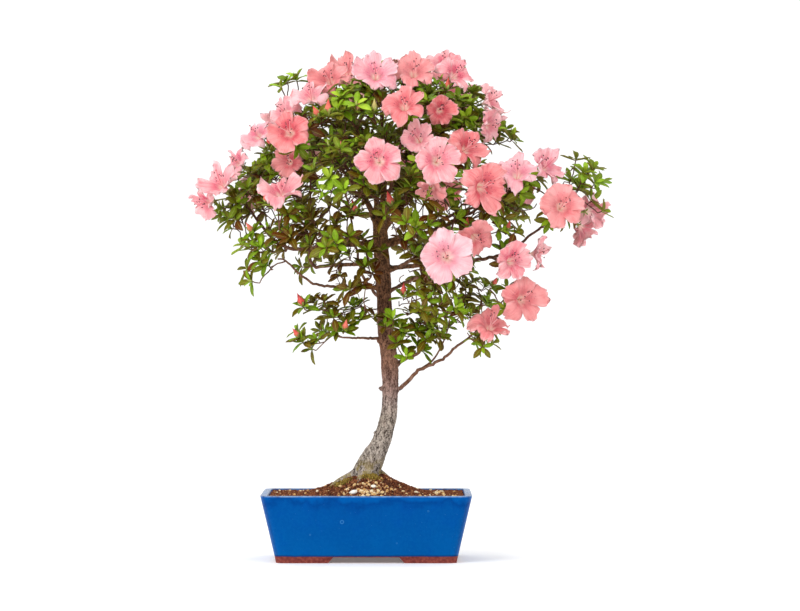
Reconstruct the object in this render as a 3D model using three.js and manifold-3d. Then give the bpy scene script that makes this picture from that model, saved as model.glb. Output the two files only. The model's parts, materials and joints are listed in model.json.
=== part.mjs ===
// Satsuki azalea bonsai in flower: a slender curved tree in a glazed rectangular pot.
// Millimetres, +Z up. The front of the tree faces -Y. The group is shifted at the end so
// that the origin is the bottom centre of the whole plant's bounding box.

import * as THREE from "three";
import { mergeVertices } from "three/addons/utils/BufferGeometryUtils.js";
import Module from "manifold-3d";

const wasm = await Module();
wasm.setup();

// ---- driving dimensions -------------------------------------------------------------

const POT = {
  halfLength: 125, // outer rim, along X
  halfDepth: 87.5, // outer rim, along Y
  height: 80,
  corner: 13, // radius of the upright corners at the rim
  taper: 16.5, // how far each wall leans in from rim to floor
  wall: 7.5,
  floorUnder: 7, // underside of the floor, which is also the height of the feet
  floorThick: 8,
};
const FOOT = { band: 15, gapX: 45, gapY: 25, slope: 6, sunk: 3 };
const DRAIN = { x: 50, radius: 10 };
const MESH_PLATE = { side: 34, thick: 1.2, holes: 2, rib: 2.6 };
const SOIL = { edgeHeight: 77, moundRise: 27, moundReach: 62, grain: 1.3 };
const GAP = 0.35; // clearance between neighbouring pieces
const BUD_GAP = 0.6; // clearance between a twig's end and the stalk that carries on from it
const CORNER_STEPS = 3;

const BLOOM = { petals: 5, faceDepth: 0.7, thick: 1, pedicel: 14, stalk: 1.1, style: 0.8 };
const LEAF = { length: 24, width: 9, rib: 1.3, fewest: 5, most: 6, stalk: 1.1 };
const BUD = { radius: 3.3, length: 13 };
const TWIG = { base: 2, tip: 1.15, sides: 3, segments: 2 };

// Trunk centre line [x, y, z] with its radius.
const TRUNK = [
  [-6, 2, 40, 13],
  [-4, 1, 80, 19],
  [0, 0, 104, 17],
  [7, -1, 120, 14],
  [16, -2, 138, 11.3],
  [23, -2, 158, 10],
  [27.5, 0, 184, 9.6],
  [28.5, 1, 215, 10],
  [26.5, 2, 245, 9.8],
  [23, 1, 270, 9.6],
  [21.5, 0, 300, 9],
  [20, -2, 330, 8.8],
  [18, -2, 360, 9.4],
  [16, 0, 388, 8.8],
  [15, 2, 410, 6.5],
];

// Surface roots that spread from the trunk's foot and dive into the soil.
const ROOTS = [
  { points: [[-6, 0, 106], [-20, -6, 99], [-38, -12, 90], [-52, -16, 74]], radius: 7.5 },
  { points: [[6, -4, 108], [16, -14, 98], [26, -26, 86], [33, -34, 70]], radius: 7 },
  { points: [[8, 4, 108], [22, 10, 97], [38, 14, 84], [48, 17, 70]], radius: 6.5 },
  { points: [[-4, -6, 104], [-8, -20, 95], [-14, -34, 84], [-18, -44, 70]], radius: 6 },
  { points: [[-2, 8, 106], [-8, 22, 95], [-12, 36, 83], [-15, 46, 70]], radius: 6.5 },
];

// Main limbs, each from inside the trunk outwards, with the radius at its base.
const LIMBS = [
  { name: "leader_left", base: 5.6, points: [[15, 0, 392], [2, -8, 425], [-22, -15, 465], [-52, -25, 508], [-66, -35, 532]] },
  { name: "leader_mid", base: 5.4, points: [[15, 2, 400], [20, 10, 440], [22, 18, 490], [12, 15, 540], [4, 8, 566]] },
  { name: "leader_right", base: 5.6, points: [[16, 0, 392], [40, -8, 420], [70, -12, 460], [92, -20, 510], [96, -18, 552]] },
  { name: "leader_front", base: 4.6, points: [[16, -2, 382], [22, -40, 408], [28, -78, 440], [38, -98, 486], [42, -92, 520]] },
  { name: "leader_back", base: 5.2, points: [[15, 2, 384], [10, 45, 412], [4, 86, 452], [10, 104, 498], [16, 92, 536]] },
  { name: "left_high", base: 4.6, points: [[16, 0, 381], [-42, -18, 375], [-100, -30, 375], [-140, -35, 389], [-163, -35, 412]] },
  { name: "left_back", base: 4.2, points: [[17, 0, 370], [-30, 35, 385], [-78, 66, 404], [-112, 80, 432]] },
  { name: "left_mid", base: 3.8, points: [[18, -1, 355], [-37, 12, 353], [-68, 30, 357], [-98, 46, 372]] },
  { name: "left_low", base: 3.2, points: [[20, -1, 325], [-14, -14, 326], [-54, -32, 328], [-74, -40, 337], [-98, -44, 352], [-114, -48, 362]] },
  { name: "left_lowest", base: 2.8, points: [[23, 1, 264], [-9, -10, 265], [-28, -20, 264], [-44, -28, 258]] },
  { name: "left_front", base: 3.8, points: [[18, -1, 366], [-15, -42, 386], [-48, -76, 408], [-72, -94, 432]] },
  { name: "right_high", base: 4.2, points: [[17, -1, 374], [55, -6, 386], [100, -16, 402], [148, -26, 428], [172, -38, 444]] },
  { name: "right_long", base: 4.2, points: [[19, -1, 348], [60, 4, 352], [110, 0, 356], [165, -15, 366], [196, -34, 388], [216, -48, 404]] },
  { name: "right_back", base: 4.2, points: [[17, 0, 378], [60, 42, 394], [108, 70, 416], [146, 80, 442]] },
  { name: "right_mid", base: 3.6, points: [[20, -1, 342], [42, -24, 352], [64, -48, 362], [92, -76, 364], [104, -96, 360]] },
  { name: "right_low", base: 3.4, points: [[28, 1, 226], [46, 5, 240], [64, 10, 249], [94, 18, 252], [116, 28, 270]] },
  { name: "right_lowest", base: 4, points: [[28, 0, 194], [50, -9, 214], [63, -17, 227], [90, -30, 240], [120, -44, 264], [140, -58, 276]] },
  { name: "back_low", base: 3.4, points: [[22, 0, 300], [20, 48, 306], [6, 90, 324], [-8, 118, 346]] },
  { name: "back_right", base: 3.4, points: [[21, -1, 318], [55, 56, 336], [88, 96, 352], [108, 116, 368]] },
];

// Trusses: one or two blooms that open from one bud. Each bloom has its face's centre,
// the way it faces (degrees right of the front, degrees above level), its width and tint.
const bloom = (at, turn, rise, across, tint = "pink") => ({ at, turn, rise, across, tint });
const TRUSSES = [
  [bloom([-22, 10, 590], 0, 55, 50, "coral"), bloom([-44, -55, 574], -10, 30, 50)],
  [bloom([12, -92, 578], 5, 35, 54, "pale")],
  [bloom([45, -130, 540], 0, 38, 52, "coral"), bloom([57, -72, 582], 8, 34, 52)],
  [bloom([93, 5, 596], 5, 40, 48), bloom([108, -52, 580], 40, 30, 48)],
  [bloom([-66, -78, 554], -15, 50, 52), bloom([-100, -55, 536], -45, 30, 46)],
  [bloom([-90, -122, 507], -8, 12, 52, "coral")],
  [bloom([-132, -52, 508], -55, 35, 46, "pale"), bloom([-158, -10, 476], -70, 20, 40)],
  [bloom([-174, -64, 451], -35, 40, 52), bloom([-194, -35, 424], -75, -20, 44)],
  [bloom([-99, -114, 441], -5, 60, 56)],
  [bloom([-93, -62, 473], -20, -5, 38, "coral")],
  [bloom([16, -168, 470], 0, 2, 56)],
  [bloom([60, -122, 500], -15, 25, 44), bloom([84, -160, 472], 8, 8, 56)],
  [bloom([122, -96, 490], 45, 25, 52, "coral")],
  [bloom([140, -145, 440], 35, -5, 62, "coral"), bloom([75, -140, 436], -15, -45, 38)],
  [bloom([178, -100, 462], 5, 40, 54, "pale")],
  [bloom([216, -54, 470], 55, 30, 50, "pale")],
  [bloom([230, -108, 421], 10, 12, 58, "coral")],
  [bloom([272, 15, 418], 140, 5, 48), bloom([262, -26, 392], 120, -35, 42)],
  [bloom([94, -166, 361], 0, 6, 66, "pale")],
  [bloom([130, -116, 380], 25, -25, 50, "coral")],
  [bloom([173, -112, 356], 30, 5, 48), bloom([206, -65, 365], 75, 0, 40)],
  [bloom([187, -90, 311], 25, 0, 58, "coral")],
  [bloom([147, -98, 284], 20, 45, 50, "coral")],
  [bloom([152, -20, 550], 70, 20, 48), bloom([150, -50, 516], 55, -10, 46)],
  [bloom([88, -96, 532], 15, -5, 38, "coral")],
  [bloom([40, 70, 592], 175, 45, 50), bloom([-10, 112, 566], 190, 30, 48)],
  [bloom([110, 96, 560], 150, 30, 52), bloom([150, 66, 528], 120, 15, 46)],
  [bloom([-110, 84, 526], 220, 30, 50), bloom([-78, 128, 494], 200, 10, 52)],
  [bloom([40, 168, 478], 180, 5, 56, "coral"), bloom([96, 158, 446], 165, -5, 50)],
  [bloom([-150, 60, 440], 250, 15, 48)],
  [bloom([190, 92, 452], 140, 20, 50, "pale")],
];

// Leafy sprays: the middle of each leaf cloud, its reach and how many leaf whorls it has.
const SPRAYS = [
  { name: "left_tip", at: [-156, -18, 433], reach: 44, whorls: 3, buds: 0 },
  { name: "left_mid", at: [-98, -46, 396], reach: 50, whorls: 3, buds: 0 },
  { name: "left_under", at: [-130, -56, 364], reach: 36, whorls: 2, buds: 0 },
  { name: "left_front", at: [-42, -104, 402], reach: 46, whorls: 3, buds: 1 },
  { name: "left_low", at: [-60, -29, 278], reach: 40, whorls: 3, buds: 2 },
  { name: "left_back", at: [-112, 80, 456], reach: 50, whorls: 3, buds: 0 },
  { name: "top_left", at: [-84, 0, 560], reach: 42, whorls: 3, buds: 1 },
  { name: "top_front", at: [-18, -70, 548], reach: 44, whorls: 3, buds: 1 },
  { name: "top_back", at: [40, 30, 570], reach: 46, whorls: 2, buds: 0 },
  { name: "top_right", at: [104, 10, 556], reach: 44, whorls: 3, buds: 1 },
  { name: "front_high", at: [-24, -124, 468], reach: 44, whorls: 3, buds: 1 },
  { name: "front_low", at: [62, -120, 420], reach: 46, whorls: 3, buds: 1 },
  { name: "trunk_front", at: [-10, -56, 352], reach: 36, whorls: 3, buds: 0 },
  { name: "right_high", at: [138, -20, 516], reach: 40, whorls: 3, buds: 0 },
  { name: "right_front", at: [156, -72, 420], reach: 44, whorls: 3, buds: 0 },
  { name: "right_tip", at: [262, -20, 450], reach: 40, whorls: 4, buds: 0 },
  { name: "low_front", at: [86, -84, 322], reach: 44, whorls: 3, buds: 1 },
  { name: "low_right", at: [130, -6, 300], reach: 46, whorls: 3, buds: 0 },
  { name: "low_inner", at: [56, -44, 276], reach: 40, whorls: 3, buds: 0 },
  { name: "back_high_left", at: [-48, 136, 470], reach: 50, whorls: 3, buds: 0 },
  { name: "back_high", at: [60, 130, 528], reach: 48, whorls: 3, buds: 1 },
  { name: "back_right", at: [150, 110, 446], reach: 50, whorls: 3, buds: 0 },
  { name: "back_low_left", at: [-66, 108, 392], reach: 48, whorls: 3, buds: 0 },
  { name: "back_low_right", at: [84, 120, 362], reach: 50, whorls: 3, buds: 0 },
];

const CROWN_HEART = new THREE.Vector3(20, 0, 390); // the point that all growth leads away from

const MATERIALS = {
  glaze: new THREE.MeshStandardMaterial({ color: 0x0a58a8, roughness: 0.25 }),
  soil: new THREE.MeshStandardMaterial({ color: 0x6b4630, roughness: 0.95 }),
  plastic: new THREE.MeshStandardMaterial({ color: 0x26282a, roughness: 0.6 }),
  bark: new THREE.MeshStandardMaterial({ color: 0x7a6252, roughness: 0.9 }),
  leaf: new THREE.MeshStandardMaterial({ color: 0x6a9433, roughness: 0.45 }),
  pink: new THREE.MeshStandardMaterial({ color: 0xf6959b, roughness: 0.55 }),
  coral: new THREE.MeshStandardMaterial({ color: 0xf27a76, roughness: 0.55 }),
  pale: new THREE.MeshStandardMaterial({ color: 0xf9b7bb, roughness: 0.55 }),
};

// ---- helpers ------------------------------------------------------------------------

const UP = new THREE.Vector3(0, 0, 1);
const vector = ([x, y, z]) => new THREE.Vector3(x, y, z);

// A seeded source of numbers from 0 to 1, the same on every run.
function seededDraw(seed) {
  let state = seed >>> 0;
  return () => {
    state = (state + 0x6d2b79f5) >>> 0;
    let t = state;
    t = Math.imul(t ^ (t >>> 15), t | 1);
    t ^= t + Math.imul(t ^ (t >>> 7), t | 61);
    return ((t ^ (t >>> 14)) >>> 0) / 4294967296;
  };
}

// A closed three.js geometry as a solid that can be joined and cut.
function solid(geometry) {
  const g = (geometry.index ? geometry.toNonIndexed() : geometry.clone()).deleteAttribute("normal");
  g.deleteAttribute("uv");
  const merged = mergeVertices(g, 1e-4);
  const kept = [];
  const index = merged.index.array;
  for (let i = 0; i < index.length; i += 3) {
    const [a, b, c] = index.subarray(i, i + 3);
    if (a !== b && b !== c && c !== a) kept.push(a, b, c);
  }
  return new wasm.Manifold(
    new wasm.Mesh({
      numProp: 3,
      vertProperties: merged.attributes.position.array,
      triVerts: new Uint32Array(kept),
    }),
  );
}

// A solid as a named mesh. Scraps that a cut left loose are dropped.
function piece(name, body, material) {
  const whole = body.decompose().sort((a, b) => b.volume() - a.volume())[0];
  const { numProp, numVert, vertProperties, triVerts } = whole.getMesh();
  const position = new Float32Array(numVert * 3);
  for (let i = 0; i < numVert; i++) {
    position.set(vertProperties.subarray(i * numProp, i * numProp + 3), i * 3);
  }
  const geometry = new THREE.BufferGeometry()
    .setAttribute("position", new THREE.BufferAttribute(position, 3))
    .setIndex(new THREE.BufferAttribute(new Uint32Array(triVerts), 1));
  geometry.computeVertexNormals();
  const mesh = new THREE.Mesh(geometry, material);
  mesh.name = name;
  return mesh;
}

const joined = (solids) => wasm.Manifold.union(solids);

// A tapering stem: a cylinder bent along a smooth line, radius(t) wide at the share t.
function stem(points, radius, sides, segments) {
  const line = new THREE.CatmullRomCurve3(points, false, "catmullrom", 0.5);
  const frames = line.computeFrenetFrames(segments, false);
  const geometry = new THREE.CylinderGeometry(1, 1, 1, sides, segments);
  const position = geometry.attributes.position;
  for (let i = 0; i < position.count; i++) {
    const step = Math.round((position.getY(i) + 0.5) * segments);
    const t = step / segments;
    const r = radius(t);
    const at = line.getPointAt(t);
    at.addScaledVector(frames.normals[step], position.getZ(i) * r);
    at.addScaledVector(frames.binormals[step], position.getX(i) * r);
    position.setXYZ(i, at.x, at.y, at.z);
  }
  return solid(geometry);
}

// Points round a rectangle with rounded corners, drawn in from the pot's rim by inset.
function rimOutline(inset, sideSteps) {
  const points = [];
  const corner = Math.max(POT.corner - inset * 0.25, 4);
  const x = POT.halfLength - inset - corner;
  const y = POT.halfDepth - inset - corner;
  const centres = [[x, y], [-x, y], [-x, -y], [x, -y]];
  centres.forEach(([cx, cy], side) => {
    for (let k = 0; k <= CORNER_STEPS; k++) {
      const angle = (side + k / CORNER_STEPS) * (Math.PI / 2);
      points.push([cx + corner * Math.cos(angle), cy + corner * Math.sin(angle)]);
    }
    const [ax, ay] = points[points.length - 1];
    const [nx, ny] = centres[(side + 1) % 4];
    const nextAngle = (side + 1) * (Math.PI / 2);
    const bx = nx + corner * Math.cos(nextAngle);
    const by = ny + corner * Math.sin(nextAngle);
    for (let k = 1; k < sideSteps; k++) {
      points.push([ax + ((bx - ax) * k) / sideSteps, ay + ((by - ay) * k) / sideSteps]);
    }
  });
  return points;
}

// A lathe whose round section is squared to the pot's outline. Each profile point is
// [inset, z], or [null, z] on the axis; shape(x, y, z, ring) may move a point.
function squaredLathe(profile, sideSteps, shape = (x, y, z) => [x, y, z]) {
  const columns = rimOutline(0, sideSteps).length;
  const turned = profile.map(([inset, z]) => new THREE.Vector2(inset === null ? 0 : 1, z));
  const geometry = new THREE.LatheGeometry(turned, columns);
  const position = geometry.attributes.position;
  const outlines = profile.map(([inset]) => (inset === null ? null : rimOutline(inset, sideSteps)));
  for (let column = 0; column <= columns; column++) {
    profile.forEach(([inset, z], ring) => {
      const [x, y] = inset === null ? [0, 0] : outlines[ring][column % columns];
      position.setXYZ(column * profile.length + ring, ...shape(x, y, z, ring));
    });
  }
  return solid(geometry);
}

// ---- pot, drain meshes and soil --------------------------------------------------------

const lean = (z) => (POT.taper * (POT.height - z)) / (POT.height - POT.floorUnder);
const potFloor = POT.floorUnder + POT.floorThick;

function makePot() {
  const body = squaredLathe(
    [
      [null, POT.floorUnder],
      [lean(POT.floorUnder), POT.floorUnder],
      [lean(POT.height - 6), POT.height - 6],
      [0, POT.height - 2],
      [1.6, POT.height],
      [POT.wall - 1.8, POT.height],
      [POT.wall, POT.height - 2],
      [POT.wall + lean(potFloor + 3), potFloor + 3],
      [POT.wall + lean(potFloor) + 3, potFloor],
      [null, potFloor],
    ],
    1,
  );
  const feetTop = POT.floorUnder + FOOT.sunk;
  let feet = squaredLathe(
    [
      [lean(0) + FOOT.band, 0],
      [lean(0) + 1, 0],
      [lean(1), 1],
      [lean(feetTop) + GAP, feetTop],
      [lean(feetTop) + FOOT.band, feetTop],
      [lean(0) + FOOT.band, 0],
    ],
    1,
  );
  const channel = (halfGap, length) => {
    const low = -1;
    const wide = halfGap + FOOT.slope * 0.15;
    const narrow = halfGap - FOOT.slope;
    const section = new THREE.Shape([
      new THREE.Vector2(-wide, low),
      new THREE.Vector2(wide, low),
      new THREE.Vector2(narrow, POT.floorUnder),
      new THREE.Vector2(-narrow, POT.floorUnder),
    ]);
    return new THREE.ExtrudeGeometry(section, { depth: length, bevelEnabled: false });
  };
  const reach = 2 * POT.halfLength;
  const alongY = channel(FOOT.gapX, reach).rotateX(Math.PI / 2).translate(0, reach / 2, 0);
  const alongX = channel(FOOT.gapY, reach)
    .rotateX(Math.PI / 2)
    .rotateZ(Math.PI / 2)
    .translate(-reach / 2, 0, 0);
  feet = feet.subtract(solid(alongY)).subtract(solid(alongX));
  const hole = (x) =>
    solid(
      new THREE.CylinderGeometry(DRAIN.radius, DRAIN.radius, 3 * POT.floorThick, 12)
        .rotateX(Math.PI / 2)
        .translate(x, 0, POT.floorUnder),
    );
  return joined([body, feet]).subtract(hole(-DRAIN.x)).subtract(hole(DRAIN.x));
}

// A square of plastic netting that lies over a drain hole and keeps the soil in.
function makeDrainMesh(x) {
  const { side, thick, holes, rib } = MESH_PLATE;
  const pitch = (side - rib) / holes;
  const openings = [];
  for (let i = 0; i < holes; i++) {
    for (let j = 0; j < holes; j++) {
      const box = new THREE.BoxGeometry(pitch - rib, pitch - rib, 3 * thick);
      const middle = (holes - 1) / 2;
      openings.push(solid(box.translate((i - middle) * pitch, (j - middle) * pitch, 0)));
    }
  }
  const plate = solid(new THREE.BoxGeometry(side, side, thick)).subtract(joined(openings));
  return plate.translate(x, 0, potFloor + GAP + thick / 2);
}

// Height of the soil: level by the walls, heaped round the foot of the trunk.
function soilHeight(x, y) {
  const away = Math.hypot(x - TRUNK[2][0], (y - TRUNK[2][1]) * 1.15) / SOIL.moundReach;
  const heap = SOIL.moundRise * Math.exp(-1.6 * away * away);
  return SOIL.edgeHeight + heap;
}

function makeSoil(rootHole) {
  const draw = seededDraw(11);
  const rings = [0, 14, 32, 50, 66];
  const top = rings.map((inset) => [POT.wall + 0.6 + inset, SOIL.edgeHeight]);
  const profile = [
    [null, potFloor + GAP],
    [POT.wall + lean(potFloor) + 3 + GAP * 2, potFloor + GAP],
    [POT.wall + lean(potFloor + 3) + GAP * 2, potFloor + 3 + GAP],
    [POT.wall + lean(SOIL.edgeHeight - 3) + GAP * 2, SOIL.edgeHeight - 3],
    ...top.slice(1),
    [null, SOIL.edgeHeight],
  ];
  const firstTop = 4;
  const grains = new Map();
  const body = squaredLathe(profile, 2, (x, y, z, ring) => {
    if (ring < firstTop) return [x, y, z];
    const key = x.toFixed(3) + "," + y.toFixed(3);
    if (!grains.has(key)) grains.set(key, (draw() - 0.5) * 2 * SOIL.grain);
    return [x, y, soilHeight(x, y) + grains.get(key)];
  });
  const pocket = (x) =>
    solid(
      new THREE.BoxGeometry(
        MESH_PLATE.side + 2 * GAP,
        MESH_PLATE.side + 2 * GAP,
        2 * (MESH_PLATE.thick + 2 * GAP),
      ).translate(x, 0, potFloor),
    );
  return body.subtract(rootHole).subtract(pocket(-DRAIN.x)).subtract(pocket(DRAIN.x));
}

// ---- the tree's wood --------------------------------------------------------------------

// The trunk and its roots, drawn thicker by grow, which makes the hole that they stand in.
function makeFoot(grow) {
  const line = TRUNK.map(vector);
  const radii = TRUNK.map((p) => p[3]);
  const radius = (t) => {
    const place = t * (radii.length - 1);
    const low = Math.min(Math.floor(place), radii.length - 2);
    return THREE.MathUtils.lerp(radii[low], radii[low + 1], place - low) + grow;
  };
  if (grow) line[0].z -= grow;
  const trunk = stemThrough(line, radius, 10, 16);
  const roots = ROOTS.map(({ points, radius: r }) => {
    const way = points.map(vector);
    const last = way[way.length - 1];
    last.addScaledVector(last.clone().sub(way[way.length - 2]).normalize(), grow);
    return stem(way, (t) => r * (1 - 0.72 * t) + grow, 5, 4);
  });
  return joined([trunk, ...roots]);
}

// As stem(), but the radius is looked up at the line's own control points.
function stemThrough(points, radius, sides, segments) {
  const line = new THREE.CatmullRomCurve3(points, false, "catmullrom", 0.5);
  const shares = Array.from({ length: segments + 1 }, (_, k) => line.getUtoTmapping(k / segments));
  return stem(points, (t) => radius(shares[Math.round(t * segments)]), sides, segments);
}

// Wood that new growth can start from: places all along every limb and twig, each on the
// straight middle line between two rings of its stem.
const wood = [];
function noteWood(points, segments, radius) {
  const spine = new THREE.CatmullRomCurve3(points, false, "catmullrom", 0.5).getSpacedPoints(segments);
  for (let k = 0; k < segments; k++) {
    const way = spine[k + 1].clone().sub(spine[k]);
    const steps = Math.max(1, Math.round(way.length() / 6));
    way.normalize();
    for (let j = 1; j <= steps; j++) {
      const share = (k + j / steps) / segments;
      wood.push({ at: spine[k].clone().lerp(spine[k + 1], j / steps), way, radius: radius(share), share });
    }
  }
}

// How far out of its way growth that stands at a point and heads along way would go to
// reach end: the distance, stretched where it has to turn.
function detour(at, way, end) {
  const off = end.clone().sub(at);
  const distance = off.length();
  return distance * (1.7 - off.normalize().dot(way));
}

// Each limb runs on from its own points to the truss or spray that lies best ahead of it.
function makeLimbs(ends) {
  return LIMBS.map(({ base, points }) => {
    const line = points.map(vector);
    const last = line[line.length - 1];
    const way = last.clone().sub(line[line.length - 2]).normalize();
    const open = ends.filter((end) => !end.taken);
    const cost = (end) => {
      const arrival = end.at.clone().sub(last).normalize().dot(end.way);
      return detour(last, way, end.at) + last.distanceTo(end.at) * (1 - arrival);
    };
    const goal = open.sort((a, b) => cost(a) - cost(b))[0];
    goal.taken = true;
    const fromEnd = (k) => line[line.length - k];
    const turns = (ahead) => Math.max(ahead.angleTo(goal.way), ahead.angleTo(fromEnd(1).clone().sub(fromEnd(2))));
    const isGood = (ahead) => ahead.length() > 25 && turns(ahead) < 1.1;
    while (line.length > 2 && !isGood(goal.at.clone().sub(fromEnd(1)))) line.pop();
    const distance = fromEnd(1).distanceTo(goal.at);
    line.push(goal.at.clone().addScaledVector(goal.way, -0.25 * distance), goal.at);
    const segments = Math.round(1.4 * (line.length - 1));
    const radius = (t) => THREE.MathUtils.lerp(base, TWIG.tip, t ** 0.85);
    noteWood(line, segments, radius);
    return stem(line, radius, 5, segments);
  });
}

// The twig that leads from the best place on the wood to a point, arriving along way.
function twigTo(end, way) {
  let best = null;
  for (const place of wood) {
    if (place.share < 0.3 || place.share > 0.95) continue;
    const distance = place.at.distanceTo(end);
    const cost = detour(place.at, place.way, end) + 6 * (1 - place.share);
    if (distance > 10 && (!best || cost < best.cost)) best = { ...place, cost, distance };
  }
  const early = best.at.clone().addScaledVector(best.way, best.distance * 0.22);
  const late = end.clone().addScaledVector(way, -best.distance * 0.3);
  const middle = early.clone().lerp(late, 0.55).addScaledVector(UP, -best.distance * 0.03);
  const points = [best.at, middle, late, end];
  const base = Math.min(TWIG.base, best.radius * 0.9);
  const radius = (t) => THREE.MathUtils.lerp(base, TWIG.tip, t);
  noteWood(points, TWIG.segments, radius);
  return stem(points, radius, TWIG.sides, TWIG.segments);
}

// ---- blooms -----------------------------------------------------------------------------

const facing = (turn, rise) => {
  const [a, e] = [turn, rise].map(THREE.MathUtils.degToRad);
  return new THREE.Vector3(Math.sin(a) * Math.cos(e), -Math.cos(a) * Math.cos(e), Math.sin(e));
};

// A closed mesh built point by point.
function shell() {
  const position = [];
  const index = [];
  return {
    add: (p) => position.push(p.x, p.y, p.z) / 3 - 1,
    face: (...corners) => {
      for (let k = 2; k < corners.length; k++) index.push(corners[0], corners[k - 1], corners[k]);
    },
    solid: () => {
      const geometry = new THREE.BufferGeometry();
      geometry.setAttribute("position", new THREE.Float32BufferAttribute(position, 3));
      return solid(geometry.setIndex(index));
    },
  };
}

// Hangs a three-sided bent stalk from a ring of points. Its rings stand at the given
// places, from the ring down to the stalk's foot, which is cut off square to rootWay.
function hangStalk(mesh, ring, way, places, rootWay, radius) {
  let upper = ring;
  places.forEach((place, k) => {
    const before = k ? places[k - 1] : place.clone().add(way);
    const last = k === places.length - 1;
    const along = last ? rootWay : before.clone().sub(places[k + 1]).normalize();
    const turn = new THREE.Quaternion().setFromUnitVectors(way, along);
    const lower = [0, 1, 2].map((i) => mesh.add(ringOffset(i, 3, radius, way).applyQuaternion(turn).add(place)));
    zip(mesh, upper, lower);
    upper = lower;
  });
  mesh.face(...upper.slice().reverse());
}

// Closes the band between a ring and the ring of three points below it.
function zip(mesh, upper, lower) {
  const n = upper.length;
  const partner = (i) => Math.round((((i + n) % n) + 0.5) * (3 / n)) % 3;
  upper.forEach((point, i) => {
    mesh.face(point, lower[partner(i)], upper[(i + 1) % n]);
    if (partner(i) !== partner(i - 1)) mesh.face(point, lower[partner(i - 1)], lower[partner(i)]);
  });
}

// A stalk's two places: its bend, near aim, and its root. The first stalk of a group is
// rooted at start, square to way. The others fork from the first, at a share of its length.
function forkedStalk(first, start, way, aim, slack, share) {
  const root = first ? first.places[1].clone().lerp(first.places[0], share) : start;
  const bend = aim.lerp(root, slack);
  const rootWay = first ? bend.clone().sub(root).normalize() : way;
  return { places: [bend, root], rootWay };
}

// Point i of a ring of n points round way, the same turn as frameOf() gives.
function ringOffset(i, n, radius, way, shift = 0) {
  const { side, over } = frameOf(way);
  const angle = ((i + shift) * 2 * Math.PI) / n;
  return side.multiplyScalar(radius * Math.cos(angle)).addScaledVector(over, radius * Math.sin(angle));
}

function frameOf(way) {
  const turn = new THREE.Quaternion().setFromUnitVectors(UP, way);
  return {
    side: new THREE.Vector3(1, 0, 0).applyQuaternion(turn),
    over: new THREE.Vector3(0, 1, 0).applyQuaternion(turn),
  };
}

// A bloom: five joined petals open as a funnel round a style, on a bent stalk. The foot
// of the funnel is at foot and faces way.
function makeBloom(foot, way, across, stalk, draw) {
  const R = across / 2;
  const n = BLOOM.petals;
  const mesh = shell();
  const at = (radius, height, turn) =>
    mesh.add(
      foot
        .clone()
        .addScaledVector(way, height)
        .add(ringOffset(turn, n, radius, way)),
    );
  const ring = (radius, height, shift = 0) =>
    Array.from({ length: n }, (_, i) => at(radius, height, i + shift));
  const depth = BLOOM.faceDepth * R;
  const t = BLOOM.thick;
  const lean = 0.12 * (draw() - 0.5);
  const petals = Array.from({ length: n }, (_, i) => {
    const lift = (k) => depth + R * (k + lean * Math.cos(i * 2.5) + 0.12 * (draw() - 0.5));
    return [
      at(0.68 * R, lift(-0.14), i),
      at(0.95 * R, lift(0.05), i + 0.15),
      at(1.04 * R, lift(-0.04), i + 0.5),
      at(0.95 * R, lift(-0.02), i + 0.85),
    ];
  });
  const inner = ring(0.38 * R, 0.8 * depth, 0.5);
  const outer = ring(0.4 * R, 0.8 * depth - t * 1.3, 0.5);
  const throat = [0, 1, 2].map((i) => at(BLOOM.style, 0.25 * depth, (-i * n) / 3));
  const styleTip = at(0, 1.25 * depth, 0);
  const neck = [0, 1, 2].map((i) => at(1.9, 0, (i * n) / 3));
  for (let i = 0; i < n; i++) {
    const next = (i + 1) % n;
    const last = (i + n - 1) % n;
    const [notch, early, tip, late] = petals[i];
    const nextNotch = petals[next][0];
    for (const [heart, before, flip] of [[inner[i], inner[last], false], [outer[i], outer[last], true]]) {
      const fan = [
        [heart, notch, early], [heart, early, tip], [heart, tip, late], [heart, late, nextNotch],
        [before, notch, heart],
      ];
      fan.forEach((f) => mesh.face(...(flip ? f.reverse() : f)));
    }
  }
  zip(mesh, outer, neck);
  zip(mesh, inner.slice().reverse(), throat);
  throat.forEach((point, i) => mesh.face(styleTip, throat[(i + 1) % 3], point));
  hangStalk(mesh, neck, way, stalk.places, stalk.rootWay, BLOOM.stalk);
  return mesh.solid();
}

function makeTruss(blooms, index) {
  const draw = seededDraw(101 + index);
  const feet = blooms.map(({ at, turn, rise, across }) => {
    const way = facing(turn, rise);
    return { way, across, foot: vector(at).addScaledVector(way, (-BLOOM.faceDepth * across) / 2) };
  });
  const way = feet.reduce((sum, f) => sum.add(f.way), new THREE.Vector3()).normalize();
  const bud = feet.reduce((sum, f) => sum.add(f.foot), new THREE.Vector3()).divideScalar(feet.length);
  const lowest = Math.min(...feet.map(({ foot }) => foot.clone().sub(bud).dot(way)));
  bud.addScaledVector(way, lowest - BLOOM.pedicel);
  const start = bud.clone().addScaledVector(way, BUD_GAP);
  const stalks = [];
  const parts = feet.map(({ way: own, foot, across }) => {
    const aim = foot.clone().addScaledVector(own, -BLOOM.pedicel * 0.4);
    stalks.push(forkedStalk(stalks[0], start, way, aim, 0.25, 0.35));
    return makeBloom(foot, own, across, stalks[stalks.length - 1], draw);
  });
  return { bud, way, tint: blooms[0].tint, body: joined(parts) };
}

// ---- leaves -----------------------------------------------------------------------------

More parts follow.
